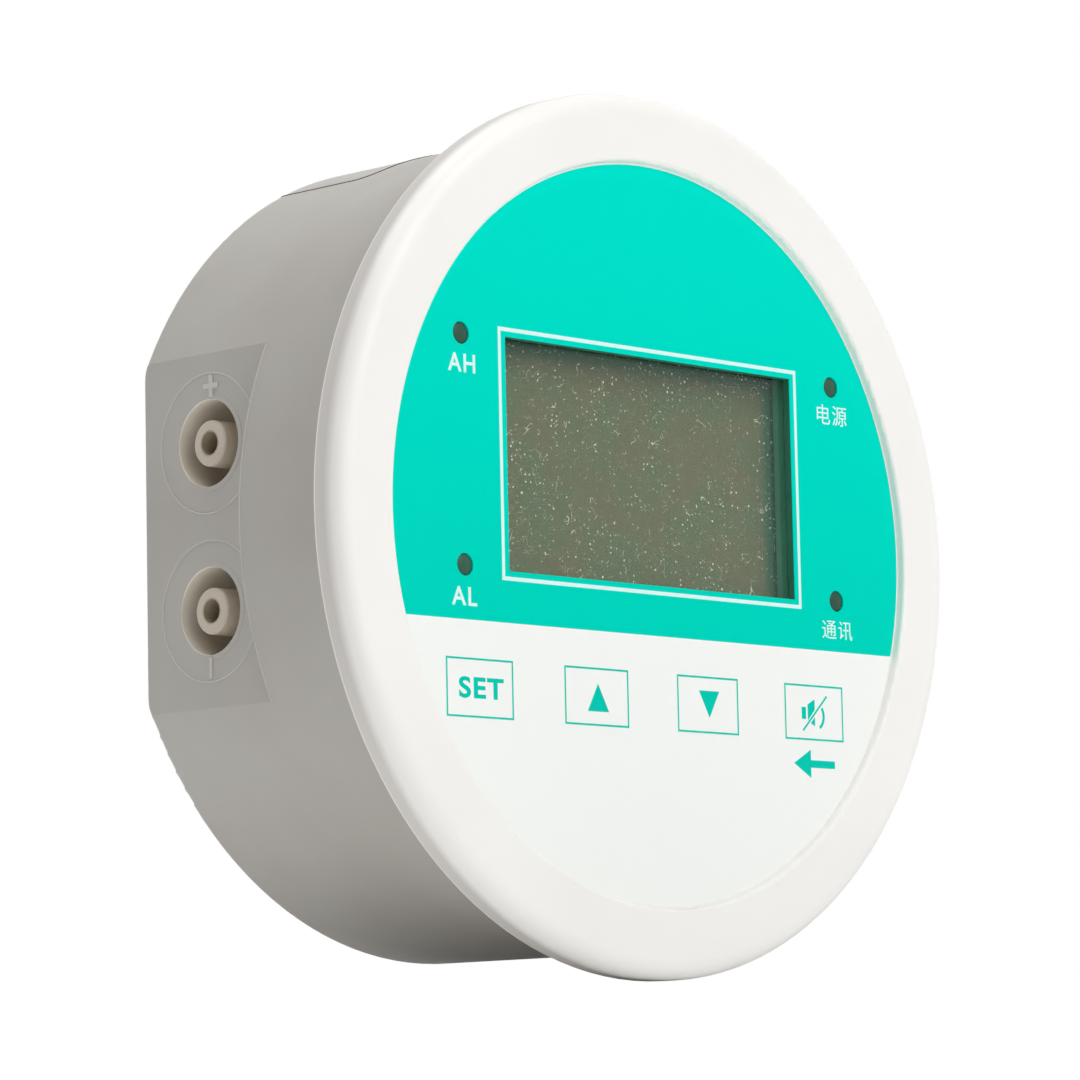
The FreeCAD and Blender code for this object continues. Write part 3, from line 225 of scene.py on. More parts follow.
# %% The dust
def make_dust():
    """A mask of sparse specks and fine hairs."""
    group, given, out = new_group("dust", (
        ("Cells", "Float", 1100.0), ("Share", "Float", 0.2), ("Hairs", "Float", 0.6),
    ), (("Mask", "Float"),))
    place = wire(group, "ShaderNodeSeparateXYZ", {"Vector": place_on(group)}).outputs
    face = wire(group, "ShaderNodeCombineXYZ", {"X": place["X"], "Y": place["Z"]}).outputs["Vector"]
    cells = wire(group, "ShaderNodeTexVoronoi", {
        "Vector": face, "Scale": given["Cells"]}, voronoi_dimensions="2D")
    chance = wire(group, "ShaderNodeSeparateColor", {"Color": cells.outputs["Color"]}).outputs
    reach = stretched(group, chance["Green"], 0, 1, 0.06, 0.19)
    near = worked_out(group, "LESS_THAN", cells.outputs["Distance"], reach)
    kept = worked_out(group, "LESS_THAN", chance["Red"], given["Share"])
    bright = worked_out(group, "MULTIPLY", kept, stretched(group, chance["Blue"], 0, 1, 0.25, 1))
    specks = worked_out(group, "MULTIPLY", near, bright)
    thick = stretched(group, noise(group, 110.0, 3.0), 0.4, 0.6, 0.15, 1)
    gathered = worked_out(group, "MULTIPLY", specks, thick)
    bend = noise(group, 520.0, 0.5, Distortion=0.8)
    line = worked_out(group, "LESS_THAN", worked_out(
        group, "ABSOLUTE", worked_out(group, "SUBTRACT", bend, 0.5)), 0.006)
    allowed = worked_out(group, "GREATER_THAN", noise(group, 640.0, 0.0), 0.62)
    hairs = worked_out(group, "MULTIPLY", worked_out(group, "MULTIPLY", line, allowed), given["Hairs"])
    group.links.new(worked_out(group, "MAXIMUM", gathered, hairs), out["Mask"])
    return group


dust = make_dust()
print("dust has", len(dust.nodes), "nodes")

# %% [markdown]
# ## Finishes
#
# Colours are written as they look, in sRGB from 0 to 255, and turned into the linear values that
# a shader works in. Most plastics here differ only in colour, gloss and grain, so one function
# makes them, and each is a row with its own values.


# %% Colour and plastic
def seen(red, green, blue):
    """The linear colour for an sRGB colour given from 0 to 255."""
    def linear(channel):
        part = channel / 255
        return part / 12.92 if part <= 0.04045 else ((part + 0.055) / 1.055) ** 2.4
    return (linear(red), linear(green), linear(blue), 1.0)


def new_finish(name):
    """A material, its node tree and its Principled shader."""
    material = bpy.data.materials.new(name)
    material.use_nodes = True
    return material, material.node_tree, material.node_tree.nodes["Principled BSDF"]


def plastic(name, colour, shade, drift=0.3, roughness=0.4, grain=3000.0, depth=0.00002):
    """Moulded plastic whose colour drifts towards a shade."""
    material, tree, shader = new_finish(name)
    skin = wire(tree, "ShaderNodeGroup", {
        "Colour": seen(*colour), "Shade": seen(*shade), "Drift": drift, "Roughness": roughness,
        "Grain": grain, "Depth": depth}, node_tree=moulded_skin)
    for skin_output, shader_input in (
            ("Colour", "Base Color"), ("Roughness", "Roughness"), ("Normal", "Normal")):
        tree.links.new(skin.outputs[skin_output], shader.inputs[shader_input])
    shader.inputs["IOR"].default_value = 1.49
    return material


finishes = {
    "bezel_white": plastic("bezel_white", (253, 251, 247), (245, 241, 236), 0.35, 0.4, 2600, 0.00002),
    "housing_grey": plastic("housing_grey", (193, 190, 184), (182, 177, 170), 0.5, 0.55, 2400, 0.00005),
    "port_ivory": plastic("port_ivory", (212, 202, 187), (194, 183, 164), 0.5, 0.42, 2600),
    "light_guide": plastic("light_guide", (232, 233, 230), (222, 224, 218), 0.3, 0.3),
    "sensor_white": plastic("sensor_white", (226, 225, 220), (214, 212, 205), 0.4, 0.5),
    "key_plastic": plastic("key_plastic", (236, 235, 231), (226, 224, 218), 0.4, 0.45),
    "tube_silicone": plastic("tube_silicone", (217, 216, 210), (200, 197, 186), 0.6, 0.45, 1500),
    "frame_black": plastic("frame_black", (38, 38, 40), (52, 52, 53), 0.5, 0.5),
    "relay_blue": plastic("relay_blue", (40, 96, 170), (34, 84, 152), 0.5, 0.35),
    "terminal_green": plastic("terminal_green", (52, 134, 84), (44, 118, 72), 0.5, 0.42),
    "stem_plastic": plastic("stem_plastic", (142, 76, 52), (124, 64, 42), 0.4, 0.4),
    "lamp_lens": plastic("lamp_lens", (72, 98, 88), (52, 74, 66), 0.7, 0.3),
}
print("plastics:", ", ".join(sorted(finishes)))

# %% [markdown]
# Rubber is matt, and dust stays on it. Its material takes the same skin as the plastics and then
# lays the dust group over the colour.


# %% Rubber
def dusted(tree, colour, dust_colour, cells, share, hairs):
    """A colour with dust laid over it."""
    mask = wire(tree, "ShaderNodeGroup", {
        "Cells": cells, "Share": share, "Hairs": hairs}, node_tree=dust).outputs["Mask"]
    return mixed(tree, mask, colour, seen(*dust_colour))


rubber = plastic("seal_rubber", (40, 40, 41), (56, 55, 54), 0.6, 0.72, 2200, 0.00005)
tree = rubber.node_tree
rubber_colour = tree.nodes["Principled BSDF"].inputs["Base Color"]
plain_rubber = rubber_colour.links[0].from_socket
tree.links.new(dusted(tree, plain_rubber, (150, 148, 144), 700.0, 0.12, 0.3), rubber_colour)
finishes["seal_rubber"] = rubber
print("rubber takes dust")

# %% [markdown]
# The bezel's side is painted a little greyer than its face, painted shade where it turns away from
# the lamps, but the last half millimetre before its sharp back edge stays white, a painted
# highlight. Depth decides where both changes come.

# %% The bezel's side, in painted shade
SIDE_STARTS, SIDE_FULL, EDGE_KEPT_WHITE = -3.4 * MM, -2.0 * MM, 0.5 * MM
tree = finishes["bezel_white"].node_tree
bezel_colour = tree.nodes["Principled BSDF"].inputs["Base Color"]
plain_bezel = bezel_colour.links[0].from_socket
depth = wire(tree, "ShaderNodeSeparateXYZ", {"Vector": place_on(tree)}).outputs["Y"]
on_side = stretched(tree, depth, SIDE_STARTS, SIDE_FULL, 0, 1)
before_edge = stretched(tree, depth, -EDGE_KEPT_WHITE, -EDGE_KEPT_WHITE / 2, 1, 0)
painted_side_shade = worked_out(tree, "MINIMUM", on_side, before_edge)
# Painted shade on the bezel's side, with a painted highlight left at its back edge.
tree.links.new(mixed(tree, painted_side_shade, plain_bezel, seen(222, 218, 213)), bezel_colour)
print("the bezel's side is full grey from y", SIDE_FULL)

# %% [markdown]
# The ports are cups of thin ivory plastic. Near the lip a cup's wall is painted paler, painted
# light where the front lamps reach into the cup, and the bore of the nozzle is painted brown,
# painted shade deep in the hole. The distance from a port's axis tells the wall and the bore
# apart. One formula serves both ports, because heights are folded about the middle between them.

# %% The ports' wall and bore
WALL_RADIUS, BORE_RADIUS = 4.6 * MM, 1.9 * MM
LIT_DEPTH = 4.5 * MM
high_middle, low_middle = middle("high_port"), middle("low_port")
tree = finishes["port_ivory"].node_tree
ivory = tree.nodes["Principled BSDF"].inputs["Base Color"]
plain_ivory = ivory.links[0].from_socket
place = wire(tree, "ShaderNodeSeparateXYZ", {"Vector": place_on(tree)}).outputs
from_centre = worked_out(tree, "SUBTRACT", place["Z"], (high_middle.z + low_middle.z) / 2)
folded = worked_out(tree, "ABSOLUTE", from_centre)
above = worked_out(tree, "SUBTRACT", folded, (high_middle.z - low_middle.z) / 2)
behind = worked_out(tree, "SUBTRACT", place["Y"], high_middle.y)
off_axis = wire(tree, "ShaderNodeCombineXYZ", {"X": above, "Y": behind}).outputs["Vector"]
away = wire(tree, "ShaderNodeVectorMath", {0: off_axis}, operation="LENGTH").outputs["Value"]
on_wall = worked_out(tree, "GREATER_THAN", away, WALL_RADIUS)
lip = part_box("high_port")[0].x
# Painted light: the wall is paler near the lip. Painted shade: the bore is brown.
painted_lit_lip = stretched(tree, place["X"], lip, lip + LIT_DEPTH, 1, 0)
paler = mixed(tree, worked_out(tree, "MULTIPLY", on_wall, painted_lit_lip), plain_ivory, seen(247, 240, 226))
painted_bore_shade = stretched(tree, away, BORE_RADIUS * 0.9, BORE_RADIUS, 0.8, 0)
tree.links.new(mixed(tree, painted_bore_shade, paler, seen(168, 155, 128)), ivory)
print("the ports' axes are", round((high_middle.z - low_middle.z) / MM, 2), "mm apart")

# %% [markdown]
# The film is one printed sheet, teal above and white below, and the change is a level line, so
# height alone decides the colour. Such films have a velvet face, so the shader's own reflection
# is kept low.

# %% The printed film
TEAL_ABOVE = -14.15 * MM
film, tree, shader = new_finish("printed_film")
height = wire(tree, "ShaderNodeSeparateXYZ", {"Vector": place_on(tree)}).outputs["Z"]
# The teal is painted lighter towards the top: painted light from above.
painted_light_up_film = stretched(tree, height, TEAL_ABOVE, cad_high.z, 0, 1)
teal = mixed(tree, painted_light_up_film, seen(0, 218, 194), seen(0, 233, 210))
above = worked_out(tree, "GREATER_THAN", height, TEAL_ABOVE)
print_colour = mixed(tree, above, seen(253, 254, 251), teal)
tree.links.new(print_colour, shader.inputs["Base Color"])
velvet = wire(tree, "ShaderNodeBump", {
    "Height": noise(tree, 4200.0), "Distance": 0.00002, "Strength": 0.5})
tree.links.new(velvet.outputs["Normal"], shader.inputs["Normal"])
tree.links.new(stretched(tree, noise(tree, 60.0, 3.0), 0.3, 0.7, 0.4, 0.5), shader.inputs["Roughness"])
shader.inputs["Specular IOR Level"].default_value = 0.01
finishes["label_film"] = film
print("the film is teal above z", TEAL_ABOVE)

# %% [markdown]
# A display that is off is an olive sandwich of glass. It is browner in some patches and greener in
# others, and its polariser and electrodes give it a very fine grain. Towards its top and its right
# edge two soft dark green bands are painted in: painted shadow of the window's edges and painted
# reflection of its green lining. Two layers of dust lie over all of it, a fine faint one and a
# coarse bright one.

# %% The display glass
display, tree, shader = new_finish("display_cell")
patches = stretched(tree, noise(tree, 130.0, 3.0), 0.38, 0.62, 0, 1)
cell_colour = mixed(tree, patches, seen(95, 92, 69), seen(82, 95, 70))
grain = stretched(tree, noise(tree, 3600.0, 3.0), 0.35, 0.7, 0, 0.3)
grained = mixed(tree, grain, cell_colour, seen(124, 124, 100))
PANE_BORDER = 1.85 * MM
BAND_TOP, BAND_RIGHT, SOFT_EDGE = 0.4 * MM, 2.2 * MM, 1.5 * MM
top_band = pane_high.z - PANE_BORDER - BAND_TOP
right_band = pane_high.x - PANE_BORDER - BAND_RIGHT
place = wire(tree, "ShaderNodeSeparateXYZ", {"Vector": place_on(tree)}).outputs
# Painted shadow and painted reflection: soft dark green bands along the top and the right edge.
top_shadow = stretched(tree, place["Z"], top_band - SOFT_EDGE, top_band, 0, 0.8)
right_shadow = stretched(tree, place["X"], right_band, right_band + SOFT_EDGE, 0, 0.85)
with_painted_shadow = mixed(tree, worked_out(tree, "MAXIMUM", top_shadow, right_shadow), grained, seen(40, 102, 78))
fine_dust = dusted(tree, with_painted_shadow, (172, 174, 150), 2400.0, 0.6, 0.1)
dusty = dusted(tree, fine_dust, (226, 226, 210), 1150.0, 0.38, 0.65)
tree.links.new(dusty, shader.inputs["Base Color"])
tree.links.new(stretched(tree, patches, 0, 1, 0.28, 0.4), shader.inputs["Roughness"])
shader.inputs["Specular IOR Level"].default_value = 0.05
finishes["display_glass"] = display
print("display_cell has", len(tree.nodes), "nodes")

# %% [markdown]
# The pane is real glass to the renderer, with the low index of a coated, glare-free face. Light
# that reached the display only through glass would arrive as noise, so rays that look for a lamp
# pass straight through it.

# %% The clear pane
pane, tree, shader = new_finish("clear_pane")
shader.inputs["Transmission Weight"].default_value = 1.0
shader.inputs["Roughness"].default_value = 0.02
shader.inputs["IOR"].default_value = 1.3
tint = mixed(tree, noise(tree, 300.0), seen(244, 249, 246), seen(236, 244, 240))
tree.links.new(tint, shader.inputs["Base Color"])
open_air = wire(tree, "ShaderNodeBsdfTransparent").outputs["BSDF"]
rays = wire(tree, "ShaderNodeLightPath").outputs
either = wire(tree, "ShaderNodeMixShader", {
    0: rays["Is Shadow Ray"], 1: shader.outputs["BSDF"], 2: open_air})
tree.links.new(either.outputs["Shader"], tree.nodes["Material Output"].inputs["Surface"])
finishes["clear_pane"] = pane
print("the pane lets shadow rays pass")

# %% [markdown]
# Small screws and inserts are plated or turned, and their fine marks are below what is seen from
# afar, so noise in the roughness and the colour is enough. The circuit board is laminate under
# green solder mask, and its tracks show through as faint lighter lines.


# %% Metals and the circuit board
def metal(name, colour, tarnish, roughness):
    """Plated or turned metal with fine marks and a little tarnish."""
    material, tree, shader = new_finish(name)
    marks = noise(tree, 1800.0, 5.0)
    tree.links.new(stretched(tree, marks, 0.3, 0.7, roughness * 0.75, roughness * 1.4),
                   shader.inputs["Roughness"])
    spread = stretched(tree, noise(tree, 240.0, 4.0), 0.4, 0.7, 0, 0.7)
    tree.links.new(mixed(tree, spread, seen(*colour), seen(*tarnish)), shader.inputs["Base Color"])
    shader.inputs["Metallic"].default_value = 1.0
    return material


finishes["steel"] = metal("zinc_plate", (198, 199, 201), (158, 158, 156), 0.28)
finishes["brass"] = metal("turned_brass", (208, 176, 108), (160, 128, 74), 0.25)

board, tree, shader = new_finish("solder_mask")
upright = wire(tree, "ShaderNodeMapping", {
    "Vector": place_on(tree), "Rotation": (math.pi / 2, 0, 0)}).outputs["Vector"]
tracks = wire(tree, "ShaderNodeTexBrick", {
    "Vector": upright, "Scale": 220.0, "Color1": seen(30, 108, 62), "Color2": seen(27, 100, 57),
    "Mortar": seen(48, 132, 82), "Mortar Size": 0.03})
tree.links.new(tracks.outputs["Color"], shader.inputs["Base Color"])
tree.links.new(stretched(tree, noise(tree, 700.0), 0.3, 0.7, 0.22, 0.36), shader.inputs["Roughness"])
finishes["board_green"] = board
print(len(finishes), "finishes")

# %% [markdown]
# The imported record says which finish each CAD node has, so one loop dresses them all. A slot with
# no finish here would stop the script with its name, and that is wanted.

# %% Dress the CAD nodes
for part in frame["record"]["subparts"]:
    materials = nodes[part["node"]].data.materials
    materials.clear()
    materials.append(finishes[part["material_slot"]])

# %% [markdown]
# ## Print on the film
#
# Ink stands a few hundredths of a millimetre above a film. Each line, letter and symbol is a thin
# solid on the film's face. That keeps its edges sharp from any distance, and no picture is
# needed. Every one is drawn flat and pulled forward by the thickness of the ink.

# %% Ink, and how a piece is finished
INK = 0.025 * MM
teal_ink = plastic("teal_ink", (2, 207, 184), (0, 198, 175), 0.4, 0.42, 5000, 0.00001)
white_ink = plastic("white_ink", (228, 255, 252), (218, 250, 246), 0.3, 0.42, 5000, 0.00001)
for ink in (teal_ink, white_ink):
    ink.node_tree.nodes["Principled BSDF"].inputs["Specular IOR Level"].default_value = 0.04
FACING_FRONT = (math.pi / 2, 0, 0)


def on_film(place, along=0.0, rise=0.0):
    """A point on the film's face, a step along and a step up from a place."""
    return Vector((place.x + along, film_face, place.z + rise))


def start_fresh():
    """Deselect everything, so that an operator acts only on what is added next."""
    bpy.ops.object.select_all(action="DESELECT")


def settle(name, finish, body="casing"):
    """Put the active object's place in its mesh, then name, dress and attach it."""
    bpy.ops.object.transform_apply(location=True, rotation=True, scale=True)
    piece = bpy.context.object
    piece.name = piece.data.name = name
    piece.data.materials.clear()
    piece.data.materials.append(finish)
    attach(piece, body)
    return piece


def ink_over(name, ink):
    """Pull the active flat mesh forward by the ink's thickness, and finish it."""
    bpy.ops.object.transform_apply(location=True, rotation=True, scale=True)
    bpy.ops.object.mode_set(mode="EDIT")
    bpy.ops.mesh.select_all(action="SELECT")
    bpy.ops.mesh.extrude_region_move(TRANSFORM_OT_translate={"value": (0, -INK, 0)})
    bpy.ops.mesh.select_all(action="SELECT")
    bpy.ops.mesh.normals_make_consistent(inside=False)
    bpy.ops.object.mode_set(mode="OBJECT")
    return settle(name, ink)


print(f"ink is {INK / MM} mm thick")

# %% [markdown]
# A ruled rectangle is a plane whose face is inset by the width of the line. The inner face is
# then deleted, and the ring that is left is what the ink covers. The line round the window is
# white on teal. The four round the keys are teal on white.


# %% The ruled rectangles
def ruled_rectangle(name, centre, width, height, line, ink):
    """A rectangular line, measured over its outside."""
    start_fresh()
    bpy.ops.mesh.primitive_plane_add(size=1, location=centre, rotation=FACING_FRONT)
    bpy.context.object.scale = (width, height, 1)
    bpy.ops.object.transform_apply(location=False, rotation=False, scale=True)
    bpy.ops.object.mode_set(mode="EDIT")
    bpy.ops.mesh.inset(thickness=line)
    bpy.ops.mesh.delete(type="FACE")
    bpy.ops.object.mode_set(mode="OBJECT")
    return ink_over(name, ink)


FRAME_SIZE, FRAME_LINE = (60.25 * MM, 34.0 * MM), 0.53 * MM
KEY_SIZE, KEY_LINE = (12.5 * MM, 7.85 * MM), 0.26 * MM
window_centre = on_film((pane_low + pane_high) / 2)
ruled_rectangle("window_rule", window_centre, *FRAME_SIZE, FRAME_LINE, white_ink)
for key in KEYS:
    ruled_rectangle(key + "_key_rule", on_film(key_places[key]), *KEY_SIZE, KEY_LINE, teal_ink)
print("five rules; the window's is", FRAME_SIZE, "m")

# %% [markdown]
# Words start as text objects. Each is given half the ink's thickness both ways, turned upright,
# stretched to its width and made a mesh. Only then is its place applied. An offset makes the
# strokes heavier, and letter spacing opens the words as print on such fronts does.


# %% Words
def word(name, text, centre, width, height, ink, weight=0.0, spacing=1.0):
    """A printed word that fills a given width and height."""
    start_fresh()
    bpy.ops.object.text_add(location=centre, rotation=FACING_FRONT)
    written = bpy.context.object
    written.data.body = text
    written.data.size = height
    written.data.align_x = written.data.align_y = "CENTER"
    written.data.space_character = spacing
    written.data.offset = weight
    written.data.extrude = INK / 2
    bpy.ops.object.convert(target="MESH")
    letters = bpy.context.object
    corners = [Vector(corner) for corner in letters.bound_box]
    sides = [max(axis) - min(axis) for axis in zip(*corners)]
    middles = [(max(axis) + min(axis)) / 2 for axis in zip(*corners)]
    letters.scale = (width / sides[0], height / sides[1], 1)
    letters.location = centre - Vector(
        (middles[0] * letters.scale.x, INK / 2, middles[1] * letters.scale.y))
    return settle(name, ink)


SET_WIDTH, SET_HEIGHT, SET_WEIGHT, SET_SPACING = 8.35 * MM, 2.85 * MM, 0.08 * MM, 1.12
LAMP_WORD_SPACING = 1.15
word("set_word", "SET", on_film(key_places["set"], 0.25 * MM, 0.02 * MM), SET_WIDTH, SET_HEIGHT,
     teal_ink, SET_WEIGHT, SET_SPACING)
for lamp, text, shift, width, height, drop, weight in (
        ("high_alarm", "AH", 0, 5.1, 2.5, 4.0, 0.00004), ("low_alarm", "AL", -0.25, 4.7, 2.5, 4.2, 0.00004),
        ("power", "电源", 0.1, 6.5, 2.9, 4.05, 0), ("link", "通讯", 0, 6.5, 2.65, 4.15, 0)):
    word(lamp + "_word", text, on_film(lamp_places[lamp], shift * MM, -drop * MM), width * MM,
         height * MM, white_ink, weight, LAMP_WORD_SPACING)
print("words for a key and the four lamps")

# %% [markdown]
# A circle with three corners is a triangle. Its first corner points up, so it needs no turn on
# the up key and half a turn on the down key, and lies on its side as the head of the arrow. The
# arrow's shaft is a plane. All are stretched a little to their real proportions.


# %% Triangles and the arrow
def triangle(name, centre, width, height, turn=0.0):
    """A filled triangle of a given base and height, turned about its own middle."""
    start_fresh()
    radius = height / 1.5
    middle_shift = Vector((math.sin(turn), 0, math.cos(turn))) * (height / 2 - radius)
    bpy.ops.mesh.primitive_circle_add(
        vertices=3, radius=radius, fill_type="NGON", location=centre + middle_shift,
        rotation=(math.pi / 2, turn, 0))
    bpy.context.object.scale = (width / (radius * math.sqrt(3)), 1, 1)
    return ink_over(name, teal_ink)


def bar(name, centre, length, width, turn=0.0):
    """A filled bar, turned about its own middle."""
    start_fresh()
    bpy.ops.mesh.primitive_plane_add(size=1, location=centre, rotation=(math.pi / 2, turn, 0))
    bpy.context.object.scale = (length, width, 1)
    return ink_over(name, teal_ink)


SIGN_ASIDE, SIGN_SHIFT = 0.25 * MM, 0.1 * MM
SIGN_WIDTH, UP_HEIGHT, DOWN_HEIGHT = 4.15 * MM, 3.75 * MM, 3.7 * MM
triangle("up_triangle", on_film(key_places["up"], SIGN_ASIDE, -SIGN_SHIFT), SIGN_WIDTH, UP_HEIGHT)
triangle("down_triangle", on_film(key_places["down"], SIGN_ASIDE, SIGN_SHIFT), SIGN_WIDTH,
         DOWN_HEIGHT, math.pi)
ARROW_DROP, HEAD_ASIDE, SHAFT_ASIDE = 7.25 * MM, -2.75 * MM, 1.6 * MM
HEAD_SIZE, SHAFT_SIZE = (4.0 * MM, 3.6 * MM), (5.2 * MM, 1.05 * MM)
triangle("arrow_head", on_film(key_places["mute"], HEAD_ASIDE, -ARROW_DROP), *HEAD_SIZE, -math.pi / 2)
bar("arrow_shaft", on_film(key_places["mute"], SHAFT_ASIDE, -ARROW_DROP), *SHAFT_SIZE)
print("two triangles and an arrow")

# %% [markdown]
# The mute sign is a small loudspeaker with one sound wave and a stroke through it. The box and
# the horn are planes, and the horn's outer edge is made taller in edit mode. The wave is a short
# bar spun about the loudspeaker. White space stays free along the stroke, so the horn is cut
# with bisect on both sides of it before the ink is pulled forward.


# %% The mute sign
mute_place = on_film(key_places["mute"])
STROKE_FROM = mute_place + Vector((-2.45 * MM, 0, -2.6 * MM))
STROKE_TO = mute_place + Vector((2.8 * MM, 0, 2.45 * MM))
stroke = STROKE_TO - STROKE_FROM
across_stroke = Vector((-stroke.z, 0, stroke.x)).normalized()
STROKE_WIDTH, FREE = 0.3 * MM, 0.36 * MM
HORN_ASIDE, HORN_SIZE, HORN_FLARE = -0.6 * MM, (1.5 * MM, 2.3 * MM), 1.66
BOX_STEP, BOX_SIZE = Vector((-2.2 * MM, 0, -0.1 * MM)), (0.9 * MM, 1.7 * MM)


def cut_free(side):
    """Keep only what lies on one side of the stroke's white space."""
    bpy.ops.object.transform_apply(location=True, rotation=True, scale=True)
    bpy.ops.object.mode_set(mode="EDIT")
    bpy.ops.mesh.select_all(action="SELECT")
    bpy.ops.mesh.bisect(plane_co=STROKE_FROM + across_stroke * side * FREE,
                        plane_no=across_stroke * side, clear_inner=True)
    bpy.ops.object.mode_set(mode="OBJECT")


def horn(name, side):
    """The loudspeaker's horn on one side of the stroke."""
    start_fresh()
    bpy.ops.mesh.primitive_plane_add(
        size=1, location=mute_place + Vector((HORN_ASIDE, 0, 0)), rotation=FACING_FRONT)
    bpy.context.object.scale = (*HORN_SIZE, 1)
    bpy.ops.object.transform_apply(location=True, rotation=True, scale=True)
    mesh = bpy.context.object.data
    bpy.ops.object.mode_set(mode="EDIT")
    bpy.ops.mesh.select_all(action="DESELECT")
    bpy.ops.object.mode_set(mode="OBJECT")
    outer = max(vertex.co.x for vertex in mesh.vertices)
    for vertex in mesh.vertices:
        vertex.select = vertex.co.x > outer - INK
    bpy.ops.object.mode_set(mode="EDIT")
    bpy.ops.transform.resize(value=(1, 1, HORN_FLARE), center_override=mute_place)
    bpy.ops.object.mode_set(mode="OBJECT")
    cut_free(side)
    return ink_over(name, teal_ink)


horn("mute_horn_upper", 1)
horn("mute_horn_lower", -1)
bar("mute_box", mute_place + BOX_STEP, *BOX_SIZE)
bar("mute_stroke", (STROKE_FROM + STROKE_TO) / 2, stroke.length, STROKE_WIDTH,
    -math.atan2(stroke.z, stroke.x))
print("mute sign at", tuple(round(part, 4) for part in mute_place))

# %% [markdown]
# The sound wave is a single edge, spun through part of a turn about a point inside the horn. Spin
# leaves a ribbon of faces whose width is the edge's length.

# %% The sound wave
WAVE_RADIUS, WAVE_WIDTH = 1.9 * MM, 0.45 * MM
WAVE_FROM, WAVE_SWEEP = math.radians(38), math.radians(96)
wave_centre = mute_place + Vector((0.15 * MM, 0, -0.45 * MM))
start_fresh()
bpy.ops.mesh.primitive_plane_add(size=WAVE_WIDTH, location=mute_place, rotation=FACING_FRONT)
bpy.ops.object.transform_apply(location=True, rotation=True, scale=True)
mesh = bpy.context.object.data
bpy.ops.object.mode_set(mode="EDIT")
bpy.ops.mesh.select_all(action="SELECT")
bpy.ops.transform.resize(value=(0, 0, 1), center_override=mute_place)
bpy.ops.mesh.remove_doubles(threshold=INK / 10)
bpy.ops.transform.rotate(value=math.pi / 2, orient_axis="Y", center_override=mute_place)
bpy.ops.transform.translate(value=wave_centre - mute_place + Vector((WAVE_RADIUS, 0, 0)))
bpy.ops.transform.rotate(value=WAVE_FROM, orient_axis="Y", center_override=wave_centre)
bpy.ops.mesh.spin(steps=16, angle=-WAVE_SWEEP, center=wave_centre, axis=(0, 1, 0))
bpy.ops.mesh.select_all(action="SELECT")
bpy.ops.mesh.remove_doubles(threshold=INK / 10)
bpy.ops.object.mode_set(mode="OBJECT")
ink_over("mute_wave", teal_ink)
print("wave has", len(mesh.polygons), "faces")

# %% [markdown]
# ## Edges of the film and the window
#
# The cut-out for the window is painted green inside, from the film's face down to the pane. It is
# a thin square sleeve: an inset plane whose inner face is deleted, extruded backwards. A gasket of
# the same make closes the gap between the pane and the display glass; it is a paler green, painted
# light to lift the shade deep in the window. The film's rim shows as a pale line where the sheet
# was cut. It is a flat ring in the narrow gap between the film and the bezel.


# %% The window's lining and the film's rim
def sleeve(name, depth, finish):
    """Push the active ring of faces back into a sleeve, with its faces outwards."""
    bpy.ops.object.mode_set(mode="EDIT")
    bpy.ops.mesh.select_all(action="SELECT")
    bpy.ops.mesh.extrude_region_move(TRANSFORM_OT_translate={"value": (0, depth, 0)})
    bpy.ops.mesh.select_all(action="SELECT")
    bpy.ops.mesh.normals_make_consistent(inside=False)
    bpy.ops.object.mode_set(mode="OBJECT")
    return settle(name, finish)


WINDOW_SIZE = (57.5 * MM, 31.5 * MM)
PAINT = 0.05 * MM
lining_green = plastic("lining_green", (52, 132, 106), (44, 112, 90), 0.5, 0.45)
start_fresh()
bpy.ops.mesh.primitive_plane_add(
    size=1, location=window_centre + Vector((0, PAINT, 0)), rotation=FACING_FRONT)
bpy.context.object.scale = (*WINDOW_SIZE, 1)
bpy.ops.object.transform_apply(location=True, rotation=True, scale=True)
bpy.ops.object.mode_set(mode="EDIT")
bpy.ops.mesh.inset(thickness=PAINT)
bpy.ops.mesh.delete(type="FACE")
bpy.ops.object.mode_set(mode="OBJECT")
sleeve("window_lining", pane_low.y - film_face - 2 * PAINT, lining_green)

# Painted light: the gasket is a paler green than the lining, to lift the shade it sits in.
gasket_lit_green = plastic("gasket_lit_green", (100, 178, 150), (80, 150, 126), 0.6, 0.5)
GASKET_SIZE, GASKET_WALL, FIT = (59.8 * MM, 33.8 * MM), 0.35 * MM, 0.02 * MM
start_fresh()
bpy.ops.mesh.primitive_plane_add(
    size=1, location=(window_centre.x, pane_high.y + FIT, window_centre.z), rotation=FACING_FRONT)
bpy.context.object.scale = (*GASKET_SIZE, 1)
bpy.ops.object.transform_apply(location=True, rotation=True, scale=True)
bpy.ops.object.mode_set(mode="EDIT")
bpy.ops.mesh.inset(thickness=GASKET_WALL)
bpy.ops.mesh.delete(type="FACE")
bpy.ops.object.mode_set(mode="OBJECT")
sleeve("display_gasket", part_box("display_glass")[0].y - pane_high.y - 2 * FIT, gasket_lit_green)

rim_white = plastic("rim_white", (250, 251, 248), (240, 242, 238), 0.3, 0.45)
film_low, film_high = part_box("front_label")
RIM_GAP = 0.33 * MM
film_radius = (film_high.x - film_low.x) / 2
start_fresh()
bpy.ops.mesh.primitive_circle_add(
    vertices=256, radius=film_radius + RIM_GAP, fill_type="NGON",
    location=(0, film_face, 0), rotation=FACING_FRONT)
bpy.ops.object.transform_apply(location=True, rotation=True, scale=True)
bpy.ops.object.mode_set(mode="EDIT")
bpy.ops.mesh.inset(thickness=RIM_GAP)
bpy.ops.mesh.delete(type="FACE")
bpy.ops.object.mode_set(mode="OBJECT")
sleeve("film_rim", (film_high.y - film_low.y) / 2, rim_white)
print("lining and rim; the film's radius is", round(film_radius, 4))

# %% [markdown]
# Each lamp shines through a smoked lens that fills its hole in the film. It is a sphere flattened
# to a low dome, and bisect takes its back half away. A dome turns one side away from the light,
# which a flat disc would not.


